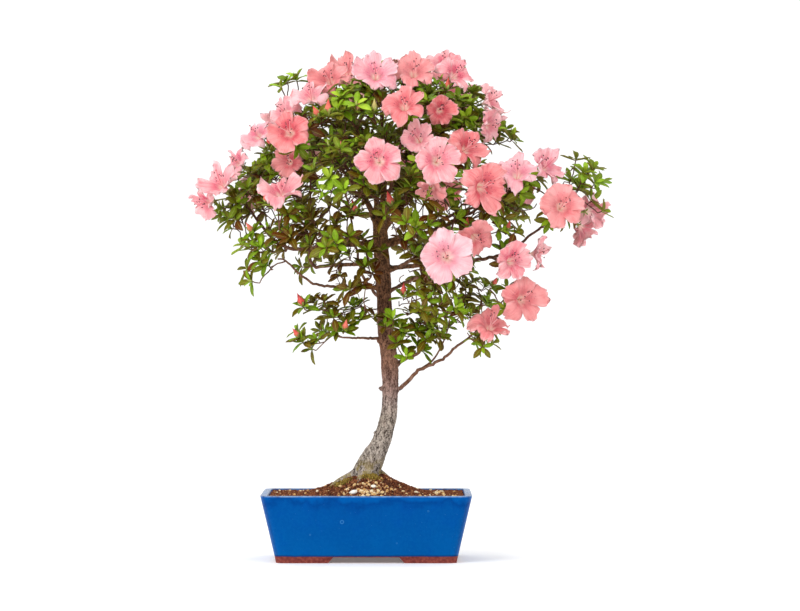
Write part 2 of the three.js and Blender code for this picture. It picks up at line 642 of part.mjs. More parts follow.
// A whorl of leaves on its stalk, as one solid. Each blade is flat on top and ribbed
// below, arches along its length and grows out between two points of the stalk's end
// ring. A pointed flower bud may stand in the middle.
function makeWhorl(tip, way, stalk, hasBud, draw) {
  const count = LEAF.fewest + Math.floor(draw() * (LEAF.most - LEAF.fewest + 1));
  const mesh = shell();
  const at = (radius, height, turn) =>
    mesh.add(ringOffset(turn, count, radius, way).addScaledVector(way, height).add(tip));
  const ring = Array.from({ length: count }, (_, i) => at(1.5, -0.8, i));
  const crown = hasBud ? null : at(0, 1, 0);
  const budFoot = ring.map((_, i) => (hasBud ? at(1.2, 0.8, i + 0.5) : crown));
  const arching = 0.25 + 0.1 * draw();
  for (let i = 0; i < count; i++) {
    const length = LEAF.length * (0.78 + 0.4 * draw());
    const rise = 0.1 + 0.55 * draw();
    const out = ringOffset(i + 0.5 + 0.22 * (draw() - 0.5), count, 1, way);
    const side = new THREE.Vector3().crossVectors(way, out);
    const half = (LEAF.width / 2) * (length / LEAF.length);
    const along = (share, across, drop) =>
      mesh.add(
        tip
          .clone()
          .addScaledVector(out, length * share)
          .addScaledVector(side, across)
          .addScaledVector(way, length * share * (rise - arching * share) - drop),
      );
    const [near, far] = [[0.36, 0.8], [0.68, 1]].map(([share, wide]) => ({
      left: along(share, half * wide, 0),
      right: along(share, -half * wide, 0),
    }));
    const rib = along(0.36, 0, LEAF.rib);
    const end = along(1, 0, 0.2);
    const right = ring[i];
    const left = ring[(i + 1) % count];
    mesh.face(budFoot[i], right, near.right, near.left, left);
    mesh.face(near.right, far.right, far.left, near.left);
    mesh.face(far.right, end, far.left);
    mesh.face(rib, near.right, right, left, near.left, far.left, end, far.right, near.right);
  }
  if (hasBud) {
    const waist = ring.map((_, i) => at(BUD.radius, 0.45 * BUD.length, i + 0.5));
    const point = at(0, BUD.length, 0);
    ring.forEach((_, i) => {
      const next = (i + 1) % count;
      mesh.face(ring[next], budFoot[next], budFoot[i]);
      mesh.face(budFoot[i], budFoot[next], waist[next], waist[i]);
      mesh.face(point, waist[i], waist[next]);
    });
  }
  hangStalk(mesh, ring, way, stalk.places, stalk.rootWay, LEAF.stalk);
  return mesh.solid();
}

const boxesMeet = (a, b) =>
  [0, 1, 2].every((k) => a.min[k] <= b.max[k] && b.min[k] <= a.max[k]);

const meets = (a, b) => boxesMeet(a.boundingBox(), b.boundingBox()) && a.intersect(b).numTri() > 0;

// The way growth leads at a point: out of the crown's heart, and upwards.
const growthAt = (at) =>
  vector(at).sub(CROWN_HEART).setZ(Math.max(at[2] - CROWN_HEART.z, 0) + 30).normalize();

const sprayBase = ({ at, reach }) => vector(at).addScaledVector(growthAt(at), -0.75 * reach);

// Whorls set round a spray on a turning spiral, each on its own bent stalk. A whorl that
// would meet its neighbours is tried again a little further round.
function makeSpray(spray, index, others) {
  const draw = seededDraw(701 + index);
  const way = growthAt(spray.at);
  const base = sprayBase(spray);
  const { side, over } = frameOf(way);
  const start = base.clone().addScaledVector(way, BUD_GAP);
  const parts = [];
  const stalks = [];
  let budsLeft = spray.buds;
  for (let k = 0; k < spray.whorls; k++) {
    for (let attempt = 0; attempt < 90; attempt++) {
      const around = (k * 2 * Math.PI) / Math.max(spray.whorls - 1, 1) + 0.9 * index + attempt * 0.7;
      const spread = spray.reach * (k ? 0.8 + 0.4 * draw() : 0.3 * draw() + 0.004 * attempt);
      const rise = spray.reach * (k ? 0.5 * draw() - 0.25 : 0.35 + 0.3 * draw());
      const tip = vector(spray.at)
        .addScaledVector(side, Math.cos(around) * spread)
        .addScaledVector(over, Math.sin(around) * spread)
        .addScaledVector(way, rise);
      tip.z = Math.max(tip.z, base.z - 0.2 * spray.reach);
      const growth = tip.clone().sub(base).normalize().addScaledVector(UP, 0.8).normalize();
      const aim = tip.clone().addScaledVector(growth, -0.4 * tip.distanceTo(base)).addScaledVector(way, 2);
      const stalk = forkedStalk(stalks[0], start, way, aim, 0.2, 0.2 + 0.22 * parts.length);
      const seed = draw() * 1e9;
      const short = { places: [tip.clone().addScaledVector(growth, -3)], rootWay: growth };
      const crown = makeWhorl(tip, growth, short, budsLeft > 0, seededDraw(seed));
      if (parts.some((part) => meets(part, crown))) continue;
      const body = makeWhorl(tip, growth, stalk, budsLeft > 0, seededDraw(seed));
      if (others.some((other) => meets(body, other))) continue;
      parts.push(body);
      stalks.push(stalk);
      budsLeft -= 1;
      break;
    }
  }
  return parts.length ? joined(parts) : null;
}

// ---- the whole plant ----------------------------------------------------------------------

const number = (k) => String(k + 1).padStart(2, "0");

const trusses = TRUSSES.map(makeTruss);
const ends = [
  ...trusses.map(({ bud, way }) => ({ at: bud, way })),
  ...SPRAYS.map((spray) => ({ at: sprayBase(spray), way: growthAt(spray.at) })),
];
const limbs = makeLimbs(ends);
const twigs = ends
  .filter((end) => !end.taken)
  .sort((a, b) => a.at.distanceTo(CROWN_HEART) - b.at.distanceTo(CROWN_HEART))
  .map(({ at, way }) => twigTo(at, way));
const tree = joined([makeFoot(0), ...limbs, ...twigs]);

const plant = new THREE.Group();
plant.add(piece("pot", makePot(), MATERIALS.glaze));
plant.add(piece("soil", makeSoil(makeFoot(GAP)), MATERIALS.soil));
plant.add(piece("drain_mesh_left", makeDrainMesh(-DRAIN.x), MATERIALS.plastic));
plant.add(piece("drain_mesh_right", makeDrainMesh(DRAIN.x), MATERIALS.plastic));
plant.add(piece("tree", tree, MATERIALS.bark));
trusses.forEach(({ body, tint }, k) => plant.add(piece("blooms_" + number(k), body, MATERIALS[tint])));

const others = [tree, ...trusses.map(({ body }) => body)];
SPRAYS.forEach((spray, k) => {
  const body = makeSpray(spray, k, others);
  if (!body) return;
  others.push(body);
  plant.add(piece("leaves_" + spray.name, body, MATERIALS.leaf));
});

const outline = new THREE.Box3().setFromObject(plant, true);
const middle = outline.getCenter(new THREE.Vector3());
plant.position.set(-middle.x, -middle.y, -outline.min.z);

const bonsai = new THREE.Group();
bonsai.add(plant);
export default bonsai;
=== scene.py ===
# %% [markdown]
# # A satsuki azalea bonsai in flower
# The plant is one slender curved trunk in a glazed rectangular pot, with a wide crown of fine
# twigs, whorls of small leaves and large five-lobed blooms. The packed CAD model is loaded as
# a fixed frame, and finer pieces are then made over its nodes, in the same places.
# Growth is made by rules: a few tables say where limbs, blooms and leaf clouds are, and
# seeded draws fill in the rest, so that each run gives the same plant.

# %% Load the frame
import json
import math

import bpy
import numpy as np
from mathutils import Matrix, Vector, noise

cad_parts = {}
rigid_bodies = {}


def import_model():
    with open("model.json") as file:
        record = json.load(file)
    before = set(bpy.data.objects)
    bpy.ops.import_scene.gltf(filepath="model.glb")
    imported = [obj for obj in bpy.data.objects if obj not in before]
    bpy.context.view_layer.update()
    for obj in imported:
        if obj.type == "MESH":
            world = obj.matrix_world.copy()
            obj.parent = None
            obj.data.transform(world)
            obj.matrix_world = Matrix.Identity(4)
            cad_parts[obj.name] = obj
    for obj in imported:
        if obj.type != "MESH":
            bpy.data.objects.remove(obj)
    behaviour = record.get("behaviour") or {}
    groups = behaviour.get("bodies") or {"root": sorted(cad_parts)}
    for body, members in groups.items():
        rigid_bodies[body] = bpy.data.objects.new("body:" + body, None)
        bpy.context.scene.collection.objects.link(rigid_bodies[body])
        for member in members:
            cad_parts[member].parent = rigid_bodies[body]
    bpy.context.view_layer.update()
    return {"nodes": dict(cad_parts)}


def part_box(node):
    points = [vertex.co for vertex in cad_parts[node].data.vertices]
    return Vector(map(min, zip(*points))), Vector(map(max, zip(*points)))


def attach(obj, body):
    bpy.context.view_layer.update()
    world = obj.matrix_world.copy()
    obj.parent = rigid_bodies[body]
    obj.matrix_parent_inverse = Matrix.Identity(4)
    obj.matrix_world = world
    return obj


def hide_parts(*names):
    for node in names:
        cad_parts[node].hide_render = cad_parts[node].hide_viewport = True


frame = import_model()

# %% [markdown]
# ## One set of measures
# A pot maker thinks in millimetres from the middle of the pot, with the table at height zero,
# and so do the tables below. Blender's pieces are in metres and in the frame's own place, so
# one small function turns the one into the other, just as each mesh is made.

# %% Millimetres from the middle of the pot
MM = 1000  # millimetres in a metre
pot_low, pot_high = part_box("pot")
POT_MIDDLE = np.array([(pot_low.x + pot_high.x) / 2, (pot_low.y + pot_high.y) / 2, 0.0])


def in_frame(points):
    return np.asarray(points, float) / MM + POT_MIDDLE


def colour(red, green, blue):
    """A colour given 0 to 255 a channel, as the linear colour that sockets take."""
    shares = [v / 255 for v in (red, green, blue)]
    return (*[s / 12.92 if s <= 0.04045 else ((s + 0.055) / 1.055) ** 2.4 for s in shares], 1.0)


print("the pot's middle in the frame:", POT_MIDDLE.round(4))

# %% [markdown]
# ## The camera
# The plant is seen from far off and level, at half its height, so a long lens on a level
# camera keeps the pot's walls and the trunk free of perspective stretch. The camera comes
# first, because each later piece is looked at through it.

# %% Camera
EYE = (39.8, -4000, 304)  # mm from the pot's middle
SENSOR_WIDTH, LENS = 36, 150  # mm
bpy.ops.object.select_all(action="DESELECT")
bpy.ops.object.camera_add(location=tuple(in_frame(EYE)), rotation=(math.pi / 2, 0, 0))
camera = bpy.context.object
camera.name = "camera"
camera.data.sensor_width = SENSOR_WIDTH
camera.data.lens = LENS
camera.data.clip_end = 30
bpy.context.scene.camera = camera
print("a pixel of an 800 wide picture covers", -EYE[1] * SENSOR_WIDTH / LENS / 800, "mm at the pot")

# %% [markdown]
# ## Floor and light
# A studio sweep is a floor that curves up into a wall, so that no horizon line shows. Here it
# runs right round the plant, since that is looked at from all sides: a wide disc, whose rim
# is extruded upwards and whose fold is bevelled round. The light is a bright even surround
# with three soft panels, which shape the petals and leave only a faint shadow.
# The tools come first: an operator acts on all that is selected, so each tool starts by
# leaving only its own object selected.


# %% Tools for meshes
def only(obj):
    """Leaves obj as the one selected and active object."""
    if bpy.context.object and bpy.context.object.mode != "OBJECT":
        bpy.ops.object.mode_set(mode="OBJECT")
    bpy.ops.object.select_all(action="DESELECT")
    obj.select_set(True)
    bpy.context.view_layer.objects.active = obj


def start_editing(obj):
    """Opens obj in edit mode, with nothing in it selected."""
    only(obj)
    bpy.ops.object.mode_set(mode="EDIT")
    bpy.ops.mesh.select_all(action="DESELECT")


def pick(obj, test, kind="FACE"):
    """Selects the faces or edges of obj whose middle passes a test, in edit mode."""
    bpy.ops.object.mode_set(mode="OBJECT")
    mesh = obj.data
    for part in (mesh.vertices, mesh.edges, mesh.polygons):
        part.foreach_set("select", [False] * len(part))
    for e in mesh.edges if kind == "EDGE" else ():
        a, b = (mesh.vertices[v].co for v in e.vertices)
        e.select = bool(test((a + b) / 2))
    for f in mesh.polygons if kind == "FACE" else ():
        f.select = bool(test(f.center))
    bpy.ops.object.mode_set(mode="EDIT")
    bpy.ops.mesh.select_mode(type=kind)


def added(add, **settings):
    """A new object from one of Blender's add tools, with all else deselected first."""
    bpy.ops.object.select_all(action="DESELECT")
    add(**settings)
    return bpy.context.object


print("tools:", [tool.__name__ for tool in (only, start_editing, pick, added)])

# %% Studio sweep
SWEEP_RADIUS, SWEEP_HEIGHT, SWEEP_FOLD = 9, 3.2, 2.4  # m
sweep = added(bpy.ops.mesh.primitive_circle_add, vertices=96, radius=SWEEP_RADIUS, fill_type="NGON")
sweep.name = "studio_floor"
start_editing(sweep)
pick(sweep, lambda c: True, "EDGE")
bpy.ops.mesh.extrude_region_move(TRANSFORM_OT_translate={"value": (0, 0, SWEEP_HEIGHT)})
pick(sweep, lambda c: c.z > SWEEP_HEIGHT - 0.1)
bpy.ops.mesh.delete(type="ONLY_FACE")
pick(sweep, lambda c: c.z < 0.1, "EDGE")
bpy.ops.mesh.bevel(offset=SWEEP_FOLD, segments=20)
bpy.ops.object.mode_set(mode="OBJECT")
bpy.ops.object.shade_smooth()
print("sweep faces:", len(sweep.data.polygons))

# %% Paper white for the sweep
PAPER = {
    "Base Color": (0.93, 0.93, 0.93, 1), "Roughness": 0.9, "Specular IOR Level": 0.1,
    "Emission Color": (1, 1, 1, 1), "Emission Strength": 0.15,
}
paper = bpy.data.materials.new("studio_paper")
paper.use_nodes = True
for key, value in PAPER.items():
    paper.node_tree.nodes["Principled BSDF"].inputs[key].default_value = value
sweep.data.materials.append(paper)
print("paper:", list(PAPER))

# %% Soft light
SURROUND = 0.93
PANELS = [
    # name, place in mm, size in m, watts
    ("panel_left", (-1500, -2100, 1900), 1.6, 39),
    ("panel_right", (1900, -2300, 1300), 2.0, 8),
    ("panel_top", (0, 300, 2600), 1.8, 14),
]
CROWN_AIM = (0, 0, 330)
world = bpy.data.worlds.new("even_surround")
bpy.context.scene.world = world
world.use_nodes = True
background = world.node_tree.nodes["Background"]
background.inputs["Color"].default_value = (1, 1, 1, 1)
background.inputs["Strength"].default_value = SURROUND
for name, place, size, watts in PANELS:
    bpy.ops.object.light_add(type="AREA", location=tuple(in_frame(place)))
    panel = bpy.context.object
    panel.name = name
    panel.data.shape = "DISK"
    panel.data.size = size
    panel.data.energy = watts
    panel.visible_camera = False  # so that it hides nothing from a view behind it
    panel.rotation_euler = (Vector(in_frame(CROWN_AIM)) - panel.location).to_track_quat("-Z", "Y").to_euler()
bpy.context.scene.view_settings.view_transform = "Standard"
print("panels:", [p[0] for p in PANELS])

# %% [markdown]
# ## Tools for growth
# A plant is a few shapes, used many times. So each small shape, such as a leaf, is modelled
# once, and its copies are set in place by a rule and gathered into one mesh per spray. The
# copies differ in size, bend and tint. A tint is kept as a number on each corner of the mesh,
# which the material reads, so that thousands of leaves share one material.


# %% Gathering copies into one mesh
class Pile:
    """Small shapes in millimetres, gathered to become one mesh."""

    def __init__(self):
        self.points, self.faces, self.slots, self.maps, self.tints, self.marks = [], [], [], [], [], []
        self.size = 0

    def add(self, points, faces, slot=0, uv=None, tint=0.5, mark=0.0):
        count = len(points)
        self.points.append(np.asarray(points, float))
        for block in faces:
            self.faces.append(np.asarray(block) + self.size)
            self.slots.append(np.full(len(block), slot))
        self.maps.append(np.zeros((count, 2)) if uv is None else uv)
        self.tints.append(np.broadcast_to(tint, count))
        self.marks.append(np.broadcast_to(mark, count))
        self.size += count

    def piece(self, name, finishes, slot_name, stands_for=()):
        corners = np.concatenate([f.reshape(-1) for f in self.faces]).astype(np.int32)
        sides = np.concatenate([np.full(len(f), f.shape[1]) for f in self.faces])
        starts = np.concatenate([[0], np.cumsum(sides)[:-1]])
        mesh = bpy.data.meshes.new(name)
        mesh.vertices.add(self.size)
        mesh.vertices.foreach_set("co", in_frame(np.concatenate(self.points)).ravel())
        mesh.loops.add(len(corners))
        mesh.loops.foreach_set("vertex_index", corners)
        mesh.polygons.add(len(sides))
        mesh.polygons.foreach_set("loop_start", starts.astype(np.int32))
        mesh.polygons.foreach_set("material_index", np.concatenate(self.slots).astype(np.int32))
        mesh.polygons.foreach_set("use_smooth", np.ones(len(sides), bool))
        mesh.update(calc_edges=True)
        layer = mesh.uv_layers.new(name="UVMap")
        layer.data.foreach_set("uv", np.concatenate(self.maps)[corners].astype(np.float32).ravel())
        number_corners(mesh, "tint", np.concatenate(self.tints))
        number_corners(mesh, "mark", np.concatenate(self.marks))
        obj = bpy.data.objects.new(name, mesh)
        bpy.context.scene.collection.objects.link(obj)
        return dress(obj, finishes, stands_for)


def number_corners(mesh, key, values):
    """Keeps a number on each corner of a mesh, for its material to read."""
    mesh.attributes.new(key, "FLOAT", "POINT").data.foreach_set("value", values.astype(np.float32))


def dress(obj, finishes, stands_for=()):
    """Gives a finished piece its materials and its body, and hides the nodes it stands for."""
    for finish in finishes:
        obj.data.materials.append(finish.material)
    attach(obj, "root")
    if stands_for:
        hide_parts(*stands_for)
    return obj


def triangles(obj):
    return sum(len(f.vertices) - 2 for f in obj.data.polygons)


print("an empty pile has", Pile().size, "corners")

# %% [markdown]
# ### A blade that is modelled once
# Leaves, petals and bud scales are all thin sheets with two faces and a rim. For each, one flat
# grid is made and given its thickness, which keeps it closed. Each corner then knows how far it
# lies across (-1 to 1), how far along (0 to 1), and whether it is on the upper or lower face.
# A formula then bends that flat sheet into shape.


# %% A flat closed sheet
def modify(obj, kind, **settings):
    """Gives obj a modifier and applies it."""
    only(obj)
    made = obj.modifiers.new(kind.lower(), kind)
    for key, value in settings.items():
        setattr(made, key, value)
    bpy.ops.object.modifier_apply(modifier=made.name)


def taken_apart(obj):
    """The corners and faces of a mesh that was only made for them."""
    place = np.array([v.co for v in obj.data.vertices])
    faces = [np.array([f.vertices[:] for f in obj.data.polygons])]
    bpy.data.objects.remove(obj)
    return place, faces


def flat_sheet(across, along):
    sheet = added(bpy.ops.mesh.primitive_grid_add, x_subdivisions=across, y_subdivisions=along, size=2)
    modify(sheet, "SOLIDIFY", thickness=1, offset=-1)
    place, faces = taken_apart(sheet)
    return {"u": place[:, 0], "v": (place[:, 1] + 1) / 2, "under": place[:, 2] < -0.5, "faces": faces}


def bent(sheet, surface, thickness):
    """The sheet laid on surface(u, v), an array of points, with its under face pushed back."""
    u, v, step = sheet["u"], sheet["v"], 1e-3
    on = surface(u, v)
    normal = np.cross(surface(u + step, v) - on, surface(u, v + step) - on)
    normal /= np.maximum(np.linalg.norm(normal, axis=1), 1e-12)[:, None]
    return on - normal * (thickness * sheet["under"])[:, None]


def map_of(sheet):
    return np.column_stack([sheet["u"] * 0.5 + 0.5, sheet["v"]])


LEAF_SHEET = flat_sheet(2, 5)
PETAL_SHEET = flat_sheet(10, 12)
print("faces: leaf", len(LEAF_SHEET["faces"][0]), "petal", len(PETAL_SHEET["faces"][0]))


# %% Stems as a chain of rings
def unit(v):
    return np.asarray(v, float) / max(np.linalg.norm(v), 1e-9)


def ways_along(line):
    ways = np.gradient(line, axis=0)
    return ways / np.linalg.norm(ways, axis=1)[:, None]


def smooth_line(points, steps):
    """Evenly spaced places on a smooth line through points, and each one's share of the table."""
    p = np.asarray(points, float)
    p = np.vstack([2 * p[0] - p[1], p, 2 * p[-1] - p[-2]])
    t = np.linspace(0, 1, 12, endpoint=False)[:, None]
    runs = []
    for a, b, c, d in zip(p, p[1:], p[2:], p[3:]):
        early, late = (c - a) / 2, (d - b) / 2
        bow, twist = 3 * (c - b) - 2 * early - late, 2 * (b - c) + early + late
        runs.append(b + early * t + bow * t**2 + twist * t**3)
    fine = np.vstack([*runs, p[-2:-1]])
    length = np.r_[0, np.cumsum(np.linalg.norm(np.diff(fine, axis=0), axis=1))]
    places = np.linspace(0, length[-1], steps + 1)
    line = np.column_stack([np.interp(places, length, column) for column in fine.T])
    return line, np.interp(places, length, np.linspace(0, 1, len(fine)))


def stem(line, radii, sides):
    """A closed round stem along a line of places."""
    line = np.asarray(line, float)
    ways = ways_along(line)
    side = unit(np.cross(ways[0], [0.3, 0.9, 0.2]))
    angle = np.arange(sides) * 2 * math.pi / sides
    rings = []
    for at, way, radius in zip(line, ways, np.broadcast_to(radii, len(line))):
        side = unit(side - way * (side @ way))
        over = np.cross(way, side)
        rings.append(at + radius * (np.cos(angle)[:, None] * side + np.sin(angle)[:, None] * over))
    points = np.vstack([*rings, line[:1], line[-1:]])
    last = (len(line) - 1) * sides
    k = np.arange(len(line) - 1)[:, None] * sides
    i, j = np.arange(sides), (np.arange(sides) + 1) % sides
    walls = np.stack([k + i, k + j, k + sides + j, k + sides + i], axis=2).reshape(-1, 4)
    start, end = np.full(sides, last + sides), np.full(sides, last + sides + 1)
    caps = np.vstack([np.column_stack([j, i, start]), np.column_stack([last + i, last + j, end])])
    return points, [walls, caps]


print("a test stem:", len(stem([[0, 0, 0], [0, 0, 5], [1, 0, 9]], 1.0, 6)[0]), "corners")

# %% Draws and directions
ANY_TURN = 6.3  # radians, a little more than once round
LIMB_SEED, CLOUD_SEED, TWIG_SEED, LEAF_SEED, BLOOM_SEED = 5, 17, 23, 31, 400
SOIL_SEED, GRAIN_SEED, MOSS_SEED = 71, 72, 73


def draws(seed):
    """A draw that gives the same numbers each run."""
    return np.random.default_rng(seed)


def frame_round(way):
    """Two directions square to a way, by turning the upright onto it."""
    turn = Vector((0, 0, 1)).rotation_difference(Vector(way))
    return np.array(turn @ Vector((1, 0, 0))), np.array(turn @ Vector((0, 1, 0)))


def outwards(side, over, turn):
    """The direction at a turn round the way that side and over are square to."""
    return side * math.cos(turn) + over * math.sin(turn)


print("square to upright:", [way.round(2).tolist() for way in frame_round([0, 0, 1])])

# %% [markdown]
# ## Where growth stands
# The trunk, surface roots and limbs are given as lines with a thickness. Each bloom has its
# face's centre, the way it faces, its width and its tint. Each leaf cloud has a middle and a
# reach. But for one root, the thickness of the lowest right limb and the way that three blooms
# face, all these are the CAD model's own values, so the finer pieces keep its form. Only the
# whorls of leaves are far more than the CAD model has.

# %% Trunk, roots and limbs
TRUNK = [  # x, y, z, radius
    (-6, 2, 40, 13), (-4, 1, 80, 19), (0, 0, 104, 17), (7, -1, 120, 14), (16, -2, 138, 11.3),
    (23, -2, 158, 10), (27.5, 0, 184, 9.6), (28.5, 1, 215, 10), (26.5, 2, 245, 9.8),
    (23, 1, 270, 9.6), (21.5, 0, 300, 9), (20, -2, 330, 8.8), (18, -2, 360, 9.4),
    (16, 0, 388, 8.8), (15, 2, 410, 6.5),
]
ROOTS = [  # radius at the start, and places along
    (7.5, [(-6, 0, 106), (-20, -6, 99), (-38, -12, 90), (-52, -16, 74)]),
    (6, [(6, -4, 106), (15, -13, 93), (25, -24, 80), (32, -32, 66)]),
    (6.5, [(8, 4, 108), (22, 10, 97), (38, 14, 84), (48, 17, 70)]),
    (6, [(-4, -6, 104), (-8, -20, 95), (-14, -34, 84), (-18, -44, 70)]),
    (6.5, [(-2, 8, 106), (-8, 22, 95), (-12, 36, 83), (-15, 46, 70)]),
]
LIMBS = [  # radius at the start, and places along
    (5.6, [(15, 0, 392), (2, -8, 425), (-22, -15, 465), (-52, -25, 508), (-66, -35, 532)]),
    (5.4, [(15, 2, 400), (20, 10, 440), (22, 18, 490), (12, 15, 540), (4, 8, 566)]),
    (5.6, [(16, 0, 392), (40, -8, 420), (70, -12, 460), (92, -20, 510), (96, -18, 552)]),
    (4.6, [(16, -2, 382), (22, -40, 408), (28, -78, 440), (38, -98, 486), (42, -92, 520)]),
    (5.2, [(15, 2, 384), (10, 45, 412), (4, 86, 452), (10, 104, 498), (16, 92, 536)]),
    (4.6, [(16, 0, 381), (-42, -18, 375), (-100, -30, 375), (-140, -35, 389), (-163, -35, 412)]),
    (4.2, [(17, 0, 370), (-30, 35, 385), (-78, 66, 404), (-112, 80, 432)]),
    (3.8, [(18, -1, 355), (-37, 12, 353), (-68, 30, 357), (-98, 46, 372)]),
    (3.2, [(20, -1, 325), (-14, -14, 326), (-54, -32, 328), (-74, -40, 337), (-98, -44, 352),
           (-114, -48, 362)]),
    (2.8, [(23, 1, 264), (-9, -10, 265), (-28, -20, 264), (-44, -28, 258)]),
    (3.8, [(18, -1, 366), (-15, -42, 386), (-48, -76, 408), (-72, -94, 432)]),
    (4.2, [(17, -1, 374), (55, -6, 386), (100, -16, 402), (148, -26, 428), (172, -38, 444)]),
    (4.2, [(19, -1, 348), (60, 4, 352), (110, 0, 356), (165, -15, 366), (196, -34, 388), (216, -48, 404)]),
    (4.2, [(17, 0, 378), (60, 42, 394), (108, 70, 416), (146, 80, 442)]),
    (3.6, [(20, -1, 342), (42, -24, 352), (64, -48, 362), (92, -76, 364), (104, -96, 360)]),
    (3.4, [(28, 1, 226), (46, 5, 240), (64, 10, 249), (94, 18, 252), (116, 28, 270)]),
    (3.3, [(28, 0, 194), (50, -9, 214), (63, -17, 227), (90, -30, 240), (120, -44, 264), (140, -58, 276)]),
    (3.4, [(22, 0, 300), (20, 48, 306), (6, 90, 324), (-8, 118, 346)]),
    (3.4, [(21, -1, 318), (55, 56, 336), (88, 96, 352), (108, 116, 368)]),
]
print("trunk places:", len(TRUNK), "roots:", len(ROOTS), "limbs:", len(LIMBS))

# %% Blooms, one or two to a bud
# x, y, z of the face's centre, degrees right of the front, degrees above level, width, tint
PINK, CORAL, PALE = "petal_pink", "petal_coral", "petal_pale"
TRUSSES = [
    [(-22, 10, 590, 0, 55, 50, CORAL), (-44, -55, 574, -10, 30, 50, PINK)],
    [(12, -92, 578, 5, 35, 54, PALE)],
    [(45, -130, 540, 0, 38, 52, CORAL), (57, -72, 582, 8, 34, 52, PINK)],
    [(93, 5, 596, 5, 40, 48, PINK), (108, -52, 580, 40, 30, 48, PINK)],
    [(-66, -78, 554, -15, 50, 52, PINK), (-100, -55, 536, -45, 30, 46, PINK)],
    [(-90, -122, 507, -8, 12, 52, CORAL)],
    [(-132, -52, 508, -42, 32, 46, PALE), (-158, -10, 476, -55, 20, 40, PINK)],
    [(-174, -64, 451, -35, 40, 52, PINK), (-194, -35, 424, -56, -16, 44, PINK)],
    [(-99, -114, 441, -5, 60, 56, PINK)],
    [(-93, -62, 473, -20, -5, 38, CORAL)],
    [(16, -168, 470, 0, 2, 56, PINK)],
    [(60, -122, 500, -15, 25, 44, PINK), (84, -160, 472, 8, 8, 56, PINK)],
    [(122, -96, 490, 45, 25, 52, CORAL)],
    [(140, -145, 440, 35, -5, 62, CORAL), (75, -140, 436, -15, -45, 38, PINK)],
    [(178, -100, 462, 5, 40, 54, PALE)],
    [(216, -54, 470, 55, 30, 50, PALE)],
    [(230, -108, 421, 10, 12, 58, CORAL)],
    [(272, 15, 418, 140, 5, 48, PINK), (262, -26, 392, 120, -35, 42, PINK)],
    [(94, -166, 361, 0, 6, 66, PALE)],
    [(130, -116, 380, 25, -25, 50, CORAL)],
    [(173, -112, 356, 30, 5, 48, PINK), (206, -65, 365, 75, 0, 40, PINK)],
    [(187, -90, 311, 25, 0, 58, CORAL)],
    [(147, -98, 284, 20, 45, 50, CORAL)],
    [(152, -20, 550, 70, 20, 48, PINK), (150, -50, 516, 55, -10, 46, PINK)],
    [(88, -96, 532, 15, -5, 38, CORAL)],
    [(40, 70, 592, 175, 45, 50, PINK), (-10, 112, 566, 190, 30, 48, PINK)],
    [(110, 96, 560, 150, 30, 52, PINK), (150, 66, 528, 120, 15, 46, PINK)],
    [(-110, 84, 526, 220, 30, 50, PINK), (-78, 128, 494, 200, 10, 52, PINK)],
    [(40, 168, 478, 180, 5, 56, CORAL), (96, 158, 446, 165, -5, 50, PINK)],
    [(-150, 60, 440, 250, 15, 48, PINK)],
    [(190, 92, 452, 140, 20, 50, PALE)],
]
print("trusses:", len(TRUSSES), "blooms:", sum(map(len, TRUSSES)))

# %% Leaf clouds
# name, middle, reach, whorls of leaves
SPRAYS = [
    ("left_tip", (-156, -18, 433), 44, 13), ("left_mid", (-98, -46, 396), 50, 16),
    ("left_under", (-130, -56, 364), 36, 10), ("left_front", (-42, -104, 402), 46, 15),
    ("left_low", (-60, -29, 278), 40, 13), ("left_back", (-112, 80, 456), 50, 15),
    ("top_left", (-84, 0, 560), 42, 14), ("top_front", (-18, -70, 548), 44, 16),
    ("top_back", (40, 30, 570), 46, 14), ("top_right", (104, 10, 556), 44, 14),
    ("front_high", (-24, -124, 468), 44, 16), ("front_low", (62, -120, 420), 46, 16),
    ("trunk_front", (-10, -56, 352), 36, 12), ("right_high", (138, -20, 516), 40, 14),
    ("right_front", (156, -72, 420), 44, 15), ("right_tip", (262, -20, 450), 40, 15),
    ("low_front", (86, -84, 322), 44, 15), ("low_right", (130, -6, 300), 46, 15),
    ("low_inner", (56, -44, 276), 40, 12), ("back_high_left", (-48, 136, 470), 50, 15),
    ("back_high", (60, 130, 528), 48, 15), ("back_right", (150, 110, 446), 50, 15),
    ("back_low_left", (-66, 108, 392), 48, 14), ("back_low_right", (84, 120, 362), 50, 14),
]
CROWN_HEART = np.array([20, 0, 390.0])  # the place that all growth leads away from
UPWARD = 30  # mm, how strongly growth leads up
THROAT = 0.35  # how deep a bloom is, in widths
STALK = 14  # mm from the bud that a truss opened from to its lowest bloom
SPRAY_DEPTH = 0.75  # how far under a cloud's middle its shoots fork, in reaches


def facing(turn, rise):
    a, e = math.radians(turn), math.radians(rise)
    return np.array([math.sin(a) * math.cos(e), -math.cos(a) * math.cos(e), math.sin(e)])


def growth_at(at):
    """The way growth leads at a place: out of the crown's heart, and upwards."""
    off = np.asarray(at, float) - CROWN_HEART
    return unit([off[0], off[1], max(off[2], 0) + UPWARD])


def truss_bud(blooms):
    """The bud that a truss opened from, the way it faces, and the foot of each bloom."""
    ways = [facing(turn, rise) for _, _, _, turn, rise, _, _ in blooms]
    feet = [np.array(b[:3], float) - way * THROAT * b[5] for b, way in zip(blooms, ways)]
    way = unit(sum(ways))
    middle = sum(feet) / len(feet)
    lowest = min((foot - middle) @ way for foot in feet)
    return middle + way * (lowest - STALK), way, list(zip(feet, ways))


def spray_base(middle, reach):
    return np.array(middle, float) - growth_at(middle) * SPRAY_DEPTH * reach


BUDS = [truss_bud(blooms) for blooms in TRUSSES]
print("first bud at", BUDS[0][0].round(1))

